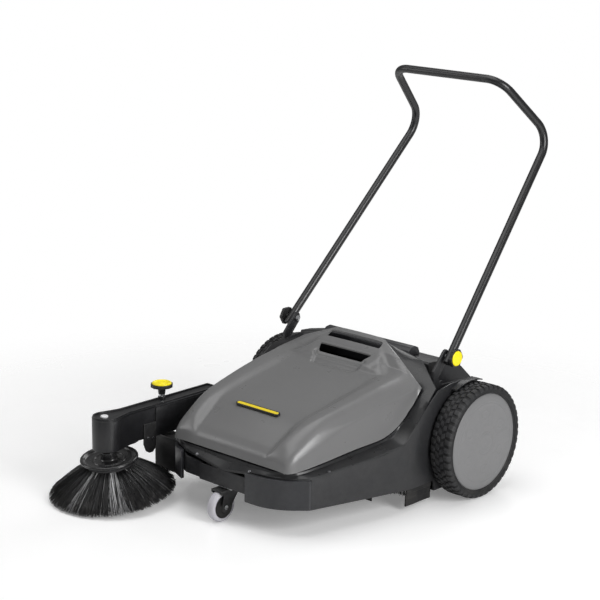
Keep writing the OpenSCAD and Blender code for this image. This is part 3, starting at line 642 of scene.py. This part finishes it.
def build_hood():
    grid = np.array([hood_section(row) for row in hood_rows()])
    x, y = np.abs(grid[..., 0]), grid[..., 1]
    # a scoop that deepens rearwards to the front slot
    half_width = 72 + (y + 194) * 0.45
    ends = fade(y, -196, -190) * fade(y, -153, -155.5)
    sides = fade(half_width - x, 0, 7)
    grid[..., 2] -= ends * sides * (2.0 + 9.0 * fade(y, -196, -160))
    # the raised border round the front slot
    half_width = 112 + (y + 178) * 0.35
    ends = fade(y, -172, -167) * fade(y, -122, -128)
    grid[..., 2] += ends * fade(half_width - x, 0, 16) * 2.4
    rows, cols = grid.shape[:2]
    hood = tidy(mesh_object("hood_shell", grid.reshape(-1, 3), grid_faces(rows, cols),
                            "hood_grey"))
    face_up(hood)
    thicken(hood, 3.2)
    cutters = []
    for i, (outline, low, high) in enumerate(HOOD_SLOTS):
        cutter = extrude(f"cut{i}", rounded(outline, 5), same, low, high, "hood_grey")
        cut = hood.modifiers.new(f"slot{i}", "BOOLEAN")
        cut.operation, cut.object, cut.solver = "DIFFERENCE", cutter, "EXACT"
        cutters.append(cutter)
    bake(hood)
    for cutter in cutters:
        bpy.data.objects.remove(cutter)
    hood.data.set_sharp_from_angle(angle=math.radians(40))
    stand_for(hood, "hood")


build_hood()

# ------------------------------------------------------------------ surround
# The band between hood and housing, from front centre round the left side to rear centre.
# Columns: inner point and outer point, each (x, y, z).
SEAM = np.array([
    [(0, -561, 163), (0, -587.5, 136)],
    [(140, -561, 163), (140, -574.5, 149.5)],
    [(190, -551, 163.5), (193, -551.5, 149.5)],
    [(208, -521, 165.5), (235.5, -518, 153.6)],
    [(224.5, -440, 176.5), (252.6, -440, 160.2)],
    [(237, -338, 187.8), (275.6, -338, 169.2)],
    [(244.5, -270, 193.2), (288.5, -270, 180.4)],
    [(248.5, -241, 203), (294, -242, 185.2)],
    [(251.3, -191, 232), (295.8, -191, 234.8)],
    [(253.3, -163, 260), (296.8, -163, 262.6)],
    [(256, -123, 300), (290, -112, 303)],
    [(174, -105, 348), (205, -67, 350)],
    [(86, -73.5, 380), (86, -67.5, 375)],
    [(0, -73.5, 381.5), (0, -67.5, 377)],
], float)
SEAM_STRAIGHT_FROM = 9    # station where the seam turns from curved to straight runs
SURROUND_REAR_Y = -165    # the cross section changes behind this


def seam_points(first, last, straight):
    part = SEAM[first:last + 1]
    knots = lengths_along(part.mean(1))
    at = [np.linspace(knots[i], knots[i + 1], 9) for i in range(last - first)]
    at = np.unique(np.concatenate(at))
    values = part.reshape(-1, 6)
    if straight:
        points = np.stack([np.interp(at, knots, column) for column in values.T], -1)
    else:
        points = monotone(knots, values, at)
    return points.reshape(-1, 2, 3)


def surround_section(inner, outer):
    step = outer - inner
    flat = np.array([step[0], step[1], 0])
    width = max(np.linalg.norm(flat), 1e-6)
    outward = flat / width
    rise = step[2]
    # columns: origin, distance outwards, height above the origin
    if inner[1] > SURROUND_REAR_Y:
        shape = [(inner, -8, -3), (inner, 0, -2), (inner, 1.5, -1.5),
                 (inner, width * 0.3, rise * 0.22), (inner, width * 0.7, rise * 0.68),
                 (outer, -1.5, -1), (outer, 0, 0), (outer, 0, -3)]
    else:
        shape = [(inner, -7, 1), (inner, 0, -0.5),
                 (inner, min(3.0, width * 0.2), rise * 0.12),
                 (inner, min(5.0, width * 0.3), rise * 0.52),
                 (inner, min(8.0, width * 0.42), rise * 0.60),
                 (outer, -min(3.5, width * 0.25), -rise * 0.06),
                 (outer, -0.3, 0), (outer, 0, -6.0)]
    return [origin + outward * out + (0, 0, up) for origin, out, up in shape]


def build_surround():
    seam = np.concatenate([seam_points(0, SEAM_STRAIGHT_FROM, False),
                           seam_points(SEAM_STRAIGHT_FROM, len(SEAM) - 1, True)[1:]])
    left = np.array([surround_section(inner, outer) for inner, outer in seam])
    right = left[::-1] * MIRROR_X
    ring = np.concatenate([left, right[1:-1]])
    rows, cols = ring.shape[:2]
    shell = tidy(mesh_object("surround_shell", ring.reshape(-1, 3),
                             grid_faces(rows, cols, wrap_rows=True), "frame_black"))
    face_up(shell)
    thicken(shell, 2.2)
    bake(shell)
    shell.data.set_sharp_from_angle(angle=math.radians(28))
    bevel(shell, 0.9, 2, 28)
    stand_for(shell, "hood_frame")


build_surround()

# ------------------------------------------------------------------ badge
# A plain yellow bar on a dark plate, no lettering, lying on the sloping hood.
BADGE_Y, BADGE_Z = -461, 264.6
BADGE_SLOPE = math.radians(13.0)


def on_badge(point):
    x, y, z = point
    return (x, BADGE_Y + y * math.cos(BADGE_SLOPE) - z * math.sin(BADGE_SLOPE),
            BADGE_Z + y * math.sin(BADGE_SLOPE) + z * math.cos(BADGE_SLOPE))


def stadium(width, height):
    r = height / 2
    quarter = math.pi / 2
    right = [(width / 2 - r + r * math.cos(a), r * math.sin(a))
             for a in np.linspace(-quarter, quarter, 12)]
    left = [(-width / 2 + r + r * math.cos(a), r * math.sin(a))
            for a in np.linspace(quarter, 3 * quarter, 12)]
    return right + left


def build_badge():
    plate = extrude("badge_plate", stadium(148, 17), on_badge, -3.5, 1.0, "badge_plate")
    stand_for(bevel(plate, 0.5, 3, 40), "hood_badge")
    bar = extrude("badge_bar", stadium(141, 9.6), on_badge, 0.5, 1.7, "badge")
    bevel(bar, 0.4, 3, 40)
    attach(bar, "chassis")


build_badge()

# ------------------------------------------------------------------ left corner guard
# Outlines seen from above: x, y, fillet
GUARD_OUTER = [(80, -590, 0), (138, -589, 42), (190, -567, 36), (236, -522, 5),
               (237, -516.5, 0)]
GUARD_INNER = [(237, -516.5, 0), (225, -519.8, 4), (184.6, -558, 24), (138.2, -579, 24),
               (80, -580.8, 0)]


def build_left_guard():
    outline = rounded(GUARD_OUTER, 9) + rounded(GUARD_INNER, 7)[1:]
    guard = extrude("left_corner_guard_shell", outline, same, 70, 146, "guard_black")
    stand_for(bevel(guard, 2.2, 3, 40), "left_corner_guard")


build_left_guard()

# ------------------------------------------------------------------ CAD pieces, edges rounded
# Columns: node, bevel width, segments, least edge angle in degrees
ROUNDED_PIECES = [
    ("lower_housing", 1.6, 2, 35), ("waste_container", 3.0, 3, 20),
    ("container_grip", 2.2, 3, 25), ("container_lip", 0.6, 2, 32),
    ("front_flap", 0.8, 2, 32), ("caster_plate", 0.8, 2, 32),
    ("right_corner_guard", 1.6, 3, 40), ("arm_support", 1.0, 2, 32),
    ("brush_arm", 1.8, 3, 30), ("brush_arm_cover", 1.2, 3, 30),
    ("arm_cap", 0.8, 3, 20), ("arm_stop_plate", 0.9, 2, 32),
    ("stop_plate_screws", 0.6, 2, 32), ("housing_screws", 0.8, 2, 32),
    ("handle_bolts", 0.6, 2, 32), ("arm_pivot_pin", 0.6, 2, 32),
    ("left_star_knob", 1.3, 3, 30), ("right_star_knob", 1.3, 3, 30),
    ("left_knob_cap", 0.8, 3, 18), ("right_knob_cap", 0.8, 3, 18),
    ("caster_fork", 1.0, 2, 30), ("caster_axle", 0.5, 2, 30),
    ("height_screw", 0.5, 2, 30), ("height_knob", 0.8, 2, 30),
]
# These keep their CAD mesh and only take a material.
PLAIN_PIECES = (
    "stub_axles", "axle_rings", "roller_bearings", "left_rim", "right_rim", "left_drive_gear",
    "right_drive_gear", "left_bushes", "right_bushes", "roller_shaft", "roller_core",
    "left_pinion", "right_pinion", "drive_pulley", "spindle_bushes", "brush_spindle",
    "brush_pulley")


def refine(node, width, segments, angle):
    """A copy of the CAD piece with its moulded edges rounded."""
    mesh = NODES[node].data.copy()
    mesh.name = node + "_fine"
    obj = link(bpy.data.objects.new(node + "_fine", mesh))
    with editing(mesh) as bm:
        bmesh.ops.remove_doubles(bm, verts=bm.verts, dist=3e-6)
        bmesh.ops.dissolve_limit(bm, angle_limit=math.radians(0.7), verts=bm.verts,
                                 edges=bm.edges)
        for face in bm.faces:
            face.smooth = True
        for edge in bm.edges:
            edge.smooth = True
    mesh.materials.clear()
    mesh.materials.append(MATERIALS[SLOT[node]])
    # makes the sharp-edge layer, then clears it: the bevel finds its edges by angle
    mesh.set_sharp_from_angle(angle=math.radians(angle))
    for edge in mesh.edges:
        edge.use_edge_sharp = False
    stand_for(bevel(obj, width, segments, angle), node)


for piece in ROUNDED_PIECES:
    refine(*piece)
for node in PLAIN_PIECES:
    NODES[node].data.materials.clear()
    NODES[node].data.materials.append(MATERIALS[SLOT[node]])

# ------------------------------------------------------------------ side seals
# Ribbed rubber strip with a thick top rail, as (x, z) on the left side
SEAL_PROFILE = [
    (286.2, 14), (289.8, 14), (290.6, 17), (290.2, 28), (291.4, 31), (291.4, 34), (290.2, 37),
    (290.4, 46), (292.4, 48), (292.4, 68), (288.9, 68), (288.9, 48), (287.2, 44), (286.6, 24)]


def build_seal(side, side_name):
    stations = np.linspace(-222, -126, 25)
    verts = []
    for y in stations:
        for x, z in SEAL_PROFILE:
            slack = 1 - fade(z, 14, 54)    # the strip ripples more towards its lower edge
            verts.append((side * (x + 1.4 * math.sin(y * 0.09) * slack * 0.4), y, z))
    rows, cols = len(stations), len(SEAL_PROFILE)
    last = (rows - 1) * cols
    faces = grid_faces(rows, cols, wrap_cols=True)
    faces += [tuple(range(cols)), tuple(range(last + cols - 1, last - 1, -1))]
    seal = tidy(mesh_object("seal_" + side_name, verts, faces, "seal_rubber"), 30)
    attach(seal, "chassis")
    return seal


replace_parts(build_seal(1, "left"), "side_seals")
build_seal(-1, "right")

# ------------------------------------------------------------------ push handle
# Corners of the left half, from the foot to the end of the cross bar
HANDLE_FOOT = np.array([278, -45, 370], float)
HANDLE_BEND = np.array([224, 425, 877], float)
HANDLE_BAR_END = np.array([181, 256, 1039], float)
HANDLE_TAIL = 20    # how far the tube runs on below the foot


def unit(vector):
    return vector / np.linalg.norm(vector)


def bend(before, corner, after, radius):
    """Circular arc that rounds a corner of a path."""
    u, w = unit(before - corner), unit(after - corner)
    half = math.acos(u @ w) / 2
    reach = radius / math.tan(half)
    centre = corner + unit(u + w) * radius / math.sin(half)
    x = (corner + u * reach - centre) / radius
    end = (corner + w * reach - centre) / radius
    y = unit(end - x * (end @ x))
    return [centre + radius * (math.cos(a) * x + math.sin(a) * y)
            for a in np.linspace(0, math.pi - 2 * half, 18)]


def build_handle():
    tail = HANDLE_FOOT - unit(HANDLE_BEND - HANDLE_FOOT) * HANDLE_TAIL
    lower = bend(HANDLE_FOOT, HANDLE_BEND, HANDLE_BAR_END, 62)
    upper = bend(HANDLE_BEND, HANDLE_BAR_END, HANDLE_BAR_END * MIRROR_X, 55)
    leg = [tail + (lower[0] - tail) * t for t in np.linspace(0, 1, 24)[:-1]]
    half = leg + lower + upper
    path = half + [point * MIRROR_X for point in half[::-1]]
    stand_for(tube("handle_tube", path, 11, "handle_black", 40), "push_handle")


build_handle()


# ------------------------------------------------------------------ drive belt
def at_brush(point):
    """From the side brush's own frame, z along its tilted axis, to the row frame."""
    x, y, z = point
    return (BRUSH_CENTRE[0] + x,
            BRUSH_CENTRE[1] + y * math.cos(BRUSH_TILT) - z * math.sin(BRUSH_TILT),
            BRUSH_CENTRE[2] + y * math.sin(BRUSH_TILT) + z * math.cos(BRUSH_TILT))


def build_belt():
    """Half turns round the roller's pulley and the brush's pulley, joined by straight runs."""
    belt_x, roller_turn, brush_turn, brush_height = -288, 8, 12, 157
    roller = [np.array((belt_x, ROLLER_Y + roller_turn * math.cos(a),
                        ROLLER_Z + roller_turn * math.sin(a)))
              for a in np.linspace(math.pi / 2, -math.pi / 2, 10)]
    brush = [np.array(at_brush(polar(brush_turn, a, brush_height)))
             for a in np.linspace(0, -math.pi, 12)]
    path = (roller + between(roller[-1], brush[0], 22)
            + brush + between(brush[-1], roller[0], 22))
    stand_for(tube("belt_round", path, 2.45, "belt", 12, closed=True), "drive_belt")


build_belt()

# ------------------------------------------------------------------ wheels
TYRE_MIDDLE = 333.5    # distance of the tyre's middle plane from the machine's
# Columns: radius, distance from the machine's middle, fillet
TYRE_PROFILE = [
    (128, 306, 0), (134, 302.2, 3), (143, 303, 4), (146.2, 306, 3), (147.0, 312, 3),
    (147.2, TYRE_MIDDLE, 0), (147.0, 355, 3), (146.2, 361, 3), (143, 364, 4), (134, 364.8, 3),
    (128, 361, 0)]
BEAD_PROFILE = [(131, 363.2, 0.4), (131.4, 365.0, 0.4), (133.0, 365.0, 0.4),
                (133.4, 363.6, 0.4)]
# Lug outlines: radius, distance from the machine's middle
SHOULDER_LUG = [(145.5, 347.5), (149.9, 348.4), (149.9, 357.5), (148.2, 361.2),
                (143.2, 364.6), (139.5, 365.0), (139.0, 363.6)]
CENTRE_LUG = [(146.2, 321.8), (149.9, 322.4), (149.9, 331.6), (146.2, 332.2)]
LUG_COUNT = 46
# Columns: outline, start and end in lug pitches, skew in radians per mm.
# Shoulder lugs wrap onto the sidewalls; centre lugs form a chevron.
LUGS = [
    (SHOULDER_LUG, 0.0, 0.60, 0.0010),
    (mirrored(SHOULDER_LUG, TYRE_MIDDLE), 0.5, 1.10, 0.0010),
    (CENTRE_LUG, 0.1, 0.72, 0.0028),
    (mirrored(CENTRE_LUG, TYRE_MIDDLE), 0.6, 1.22, -0.0028),
]
# Wheel cover: radius, distance from the machine's middle
COVER_RADII = [0, 55, 104, 119, 124.5, 127.2, 127.6]
COVER_FACE = [366.9, 366.4, 364.4, 362.6, 361.0, 359.2, 357.4]
PAD_PITCH = math.pi / 3
PAD_RADIUS = 73    # of the circle the six pads sit on


def wheel_place(side):
    return lambda point: (side * point[2], point[0], WHEEL_RADIUS + point[1])


def add_lug(verts, faces, outline, start, end, skew, place):
    """One tread block swept from start to end angle, its end edges slightly lower."""
    base, cols, steps = len(verts), len(outline), 3
    for i in range(steps + 1):
        drop = 0.5 if i in (0, steps) else 0
        for radius, x in outline:
            angle = start + (end - start) * i / steps + skew * (x - TYRE_MIDDLE)
            verts.append(place(polar(radius - (drop if radius > 148.5 else 0), angle, x)))
    last = base + steps * cols
    faces += grid_faces(steps + 1, cols, wrap_cols=True, start=base)
    faces.append(tuple(range(base, base + cols)))
    faces.append(tuple(range(last + cols - 1, last - 1, -1)))


def build_tyre(side, node):
    place = wheel_place(side)
    carcass = lathe(node + "_carcass", rounded(TYRE_PROFILE, 4), "tyre", place, 144, 40)
    verts, faces = [], []
    pitch = 2 * math.pi / LUG_COUNT
    for k in range(LUG_COUNT):
        for outline, start, end, skew in LUGS:
            add_lug(verts, faces, outline, k * pitch + pitch * start, k * pitch + pitch * end,
                    skew, place)
    tread = tidy(mesh_object(node + "_tread", verts, faces, "tyre"), 32)
    bead = lathe(node + "_bead", rounded(BEAD_PROFILE, 3), "tyre", place, 96, 60)
    stand_for(carcass, node)
    for part in (tread, bead):
        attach(part, NODES[node]["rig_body"])


def cover_depth(radius, angle):
    z = float(np.interp(radius, COVER_RADII, COVER_FACE))
    # centre boss and the ring groove round it
    z += 1.0 * fade(radius, 24, 21.5) - 0.9 * math.exp(-((radius - 30) / 2.0) ** 2)
    # six shallow rounded pads
    across = ((angle / PAD_PITCH) % 1.0 - 0.5) * math.pi / 3 * radius
    outside = max(abs(across) - (0.33 * radius - 2), abs(radius - PAD_RADIUS) - 25)
    z -= 1.5 * fade(outside, 4, -2) * (0.55 + 0.45 * fade(outside, 0, -14))
    # raised ring inside each pad
    z += 0.8 * math.exp(-((math.hypot(across, radius - PAD_RADIUS) - 12) / 1.8) ** 2)
    # step near the rim
    z += 0.6 * fade(radius, 106, 107.5) - 0.5 * math.exp(-((radius - 105) / 1.2) ** 2)
    return min(z, 367.95)


def build_cover(side, node):
    place = wheel_place(side)
    segments = 240
    radii = np.unique(np.concatenate([np.linspace(0.01, 20, 8), np.linspace(20, 50, 22),
                                      np.linspace(50, 105, 40), np.linspace(105, 127.6, 24)]))
    verts = []
    for radius in radii:
        for j in range(segments):
            angle = 2 * math.pi * j / segments
            verts.append(place(polar(radius, angle, cover_depth(radius, angle))))
    faces = grid_faces(len(radii), segments, wrap_cols=True) + [tuple(range(segments))]
    stand_for(tidy(mesh_object(node + "_disc", verts, faces, "cover_grey")), node)


for side, side_name in ((1, "left"), (-1, "right")):
    build_tyre(side, side_name + "_tyre")
    build_cover(side, side_name + "_wheel_cover")

# ------------------------------------------------------------------ side brush
# Columns: radius, height along the brush axis, fillet
HUB_PROFILE = [
    (6, 76, 0), (62, 76, 2), (63.5, 86, 1.5), (71, 86, 2), (75, 88.5, 3.4), (75, 94, 3.4),
    (70.5, 96.5, 3.0), (66, 94.5, 3.0), (60, 88.6, 4), (44, 87.6, 1.2), (42, 90.2, 1.2),
    (38.5, 90.2, 1.2), (37, 88, 1.2), (25, 88.4, 3), (20.5, 92, 4), (20, 111.5, 2), (6, 112, 0)]
TUFT_COUNT = 40
PALE_TUFTS = (9, 30, 35, 36)
# Columns: ring (0 outer, 1 inner), bristles per tuft, root radius, tip radius
TUFT_RINGS = [(0, 95, 57.0, 151), (1, 70, 50.0, 140)]


def build_hub():
    profile = rounded(HUB_PROFILE, 5)
    band = [1 if z < 86.2 and radius < 67 else 0 for radius, z in profile]
    stand_for(lathe("side_brush_hub", profile, ("hub_black", "hub_band"), at_brush, 128, 45,
                    row_material=band), "brush_hub")


def side_bristle(ring, root_radius, tip_radius, tuft_angle, pale):
    """One bristle curving outwards and down, scattered about its tuft."""
    root_r = root_radius + rng.normal(0, 1.3)
    root_a = tuft_angle + (0.5 * ring) * 2 * math.pi / TUFT_COUNT + rng.normal(0, 0.022)
    spread = rng.random()
    tip_r = min(tip_radius + 12.5 * (spread - 0.35) + rng.normal(0, 2.2), 164)
    tip_a = root_a + rng.normal(0, 0.055) + 0.02 * math.sin(root_a * 7)
    tip_z = 1.2 + max(0, (tip_r - 139) * 0.05) + abs(rng.normal(0, 1.8))
    if ring == 0 and spread > 0.55:
        tip_r = 157 + 7 * rng.random()
        tip_z = 2 + 5 * rng.random()
    mid_r = (root_r + tip_r) / 2 + 4.5 + rng.normal(0, 1.5)
    mid_z = 76 - (76 - tip_z) * 0.42 + rng.normal(0, 1.2)
    mid_a = root_a + (tip_a - root_a) * 0.35
    radius = 0.52 + 0.2 * rng.random()
    tone = rng.random() ** 2 * 0.62
    if pale and rng.random() < 0.50:
        tone = 0.86 + 0.14 * rng.random()
    elif rng.random() < 0.035:
        tone = 0.8 + 0.15 * rng.random()
    x, y, z = at_brush(polar(tip_r, tip_a, tip_z))
    return (at_brush(polar(root_r, root_a, 76.5)), at_brush(polar(mid_r, mid_a, mid_z)),
            (x, y, max(z, 0.4)), radius, tone)


def build_side_bristles():
    bristles = []
    for tuft in range(TUFT_COUNT):
        angle = 2 * math.pi * (tuft + 0.5) / TUFT_COUNT
        for ring, count, root_radius, tip_radius in TUFT_RINGS:
            for _ in range(count):
                bristles.append(side_bristle(ring, root_radius, tip_radius, angle,
                                             tuft in PALE_TUFTS))
    stand_for(strands("side_brush_bristles", bristles, "side_bristle", steps=4),
              "brush_bristles")


build_hub()
build_side_bristles()


# ------------------------------------------------------------------ roller bristles
def on_roller(x, radius, angle):
    return (x, ROLLER_Y + radius * math.cos(angle), ROLLER_Z + radius * math.sin(angle))


def build_roller_bristles():
    """Straight rows of tufts along the roller."""
    rows, tufts, per_tuft, half_length = 8, 46, 16, 226
    bristles = []
    for row in range(rows):
        row_angle = math.radians(360 / rows * row)
        for k in range(tufts):
            tuft_x = -half_length + 2 * half_length * k / (tufts - 1)
            for _ in range(per_tuft):
                x = tuft_x + rng.normal(0, 1.6)
                angle = row_angle + rng.normal(0, 0.03)
                tip_angle = angle + rng.normal(0, 0.030)
                tip_radius = min(112.5 + rng.normal(0, 0.8), 113.9)
                tip_x = max(-230.5, min(230.5, x + rng.normal(0, 3.0)))
                middle = on_roller((x + tip_x) / 2, 78, (angle + tip_angle) / 2 + 0.01)
                radius = 0.55 + 0.2 * rng.random()
                bristles.append((on_roller(x, 41.5, angle), middle,
                                 on_roller(tip_x, tip_radius, tip_angle),
                                 radius, rng.random() ** 1.5))
    stand_for(strands("roller_tufts", bristles, "roller_bristle", steps=2), "roller_bristles")


build_roller_bristles()

# ------------------------------------------------------------------ height knob cap
# Dished yellow top. Columns: radius, z, fillet
KNOB_X, KNOB_Y = -328, -485
KNOB_PROFILE = [
    (0.02, 261.6, 0), (25.7, 261.6, 0.5), (25.9, 265.0, 1.6), (23.6, 267.0, 1.2),
    (20.5, 266.2, 1.5), (17, 264.4, 2.0), (9.0, 264.0, 0.6), (7.5, 265.2, 0.6),
    (4.5, 265.2, 0.4), (3.5, 264.4, 0.4), (0.02, 264.4, 0)]


def at_knob(point):
    return (KNOB_X + point[0], KNOB_Y + point[1], point[2])


stand_for(lathe("height_knob_top", rounded(KNOB_PROFILE, 4), "knob_yellow", at_knob, 72, 50),
          "height_knob_cap")

# ------------------------------------------------------------------ caster wheel
CASTER_Y, CASTER_RADIUS = -592, 40
# Halves of the profiles: radius, x, fillet
CASTER_TREAD = [(30, -12, 0), (36.5, -12, 2.5), (CASTER_RADIUS, -6.5, 4)]
CASTER_CORE = [(4.1, -14, 0), (9.5, -14, 0.6), (10.5, -12, 0.8), (12, -11.2, 1),
               (24, -10.6, 2), (27, -11.8, 1), (29.9, -11.8, 0.8)]


def at_caster(point):
    return (point[2], CASTER_Y + point[0], CASTER_RADIUS + point[1])


stand_for(lathe("caster_tread", rounded(CASTER_TREAD + mirrored(CASTER_TREAD), 6),
                "caster_tread", at_caster, 96, 45), "caster_tyre")
stand_for(lathe("caster_core", rounded(CASTER_CORE + mirrored(CASTER_CORE), 4),
                "caster_hub", at_caster, 72, 45), "caster_hub")


# ------------------------------------------------------------------ floor
def floor_material():
    """Near-white floor that, for the camera, fades into the backdrop away from the machine."""
    g = Shader("studio_floor")
    patches = g.remap(g.noise(scale=1.5, detail=3), src=(0.3, 0.7))
    distance = g.node("VectorMath")
    distance.operation = "DISTANCE"
    g.feed(distance.inputs[0], g.geometry("Position"))
    distance.inputs[1].default_value = (-0.05, -0.30, 0)
    fade_out = g.node("MapRange")
    fade_out.interpolation_type = "SMOOTHSTEP"
    fade_out.inputs["From Min"].default_value = 0.75
    fade_out.inputs["From Max"].default_value = 1.7
    g.feed(fade_out.inputs["Value"], distance.outputs["Value"])
    camera_ray = g.node("LightPath").outputs["Is Camera Ray"]
    blend = g.node("MixShader")
    g.feed(blend.inputs[0], g.times(fade_out.outputs["Result"], camera_ray))
    g.feed(blend.inputs[1], g.bsdf.outputs[0])
    g.feed(blend.inputs[2], g.node("BsdfTransparent").outputs[0])
    g.feed(g.output.inputs[0], blend.outputs[0])
    g.surface({"Base Color": g.mix(patches, (0.93, 0.93, 0.93), (0.96, 0.96, 0.96)),
               "Roughness": g.remap(g.noise(scale=4, detail=3), src=(0.3, 0.7),
                                    to=(0.26, 0.34)),
               "Specular IOR Level": 0.35, "Emission Color": (1, 1, 1),
               "Emission Strength": g.times(camera_ray, 0.20)})
    return g.material


def build_floor():
    material = floor_material()
    bpy.ops.mesh.primitive_plane_add(size=40, location=(0, 0, -0.0008))
    floor = bpy.context.object
    floor.name = "studio_floor"
    floor.data.materials.append(material)


build_floor()


# ------------------------------------------------------------------ world and lights
def build_world(fill, backdrop):
    """White surroundings: fill lights the scene, backdrop is what the camera sees."""
    world = bpy.data.worlds.new("studio")
    scene.world = world
    world.use_nodes = True
    tree = world.node_tree
    tree.nodes.clear()
    output = tree.nodes.new("ShaderNodeOutputWorld")
    mix = tree.nodes.new("ShaderNodeMixShader")
    path = tree.nodes.new("ShaderNodeLightPath")
    tree.links.new(path.outputs["Is Camera Ray"], mix.inputs[0])
    for i, strength in enumerate((fill, backdrop)):
        background = tree.nodes.new("ShaderNodeBackground")
        background.inputs[0].default_value = (1, 1, 1, 1)
        background.inputs[1].default_value = strength
        tree.links.new(background.outputs[0], mix.inputs[i + 1])
    tree.links.new(mix.outputs[0], output.inputs[0])


def area(name, at, target, size, power):
    light = bpy.data.lights.new(name, "AREA")
    light.shape, light.energy = "RECTANGLE", power
    light.size, light.size_y = size
    obj = link(bpy.data.objects.new(name, light))
    obj.location = at
    obj.rotation_euler = (Vector(target) - Vector(at)).to_track_quat("-Z", "Y").to_euler()


build_world(fill=0.23, backdrop=1.0)
area("top_soft", at=(-0.3, -0.6, 3.0), target=(0, -0.2, 0), size=(2.6, 2.6), power=40)
area("left_soft", at=(-2.6, -2.2, 1.5), target=(0, -0.3, 0.2), size=(1.2, 1.8), power=15)
area("right_soft", at=(3.0, -0.6, 1.6), target=(0, -0.2, 0.3), size=(1.4, 1.8), power=74)
area("back_soft", at=(-0.8, 2.6, 2.4), target=(0, 0, 0.4), size=(1.8, 1.4), power=22)


# ------------------------------------------------------------------ camera
def build_camera(target, distance, azimuth, elevation, roll, lens):
    """Looks at the target; azimuth turns from -Y towards +X. Angles are in degrees."""
    azimuth, elevation, roll = map(math.radians, (azimuth, elevation, roll))
    sin_a, cos_a = math.sin(azimuth), math.cos(azimuth)
    sin_e, cos_e = math.sin(elevation), math.cos(elevation)
    back = Vector((sin_a * cos_e, -cos_a * cos_e, sin_e))
    level = Vector((cos_a, sin_a, 0))
    upright = Vector((-sin_a * sin_e, cos_a * sin_e, cos_e))
    right = level * math.cos(roll) + upright * math.sin(roll)
    up = upright * math.cos(roll) - level * math.sin(roll)
    data = bpy.data.cameras.new("photo_camera")
    camera = link(bpy.data.objects.new("photo_camera", data))
    at = Vector(target) + back * distance
    camera.matrix_world = Matrix((*zip(right, up, back, at), (0, 0, 0, 1)))
    data.lens, data.sensor_width = lens, 36
    data.clip_start, data.clip_end = 0.1, 100
    scene.camera = camera


build_camera(target=(-0.0621, -0.2437, 0.4931), distance=4.76606, azimuth=42.915,
             elevation=14.525, roll=0.627, lens=110.835)
scene.view_settings.view_transform = "Standard"
scene.view_settings.look = "None"
scene.view_settings.exposure = 0.0
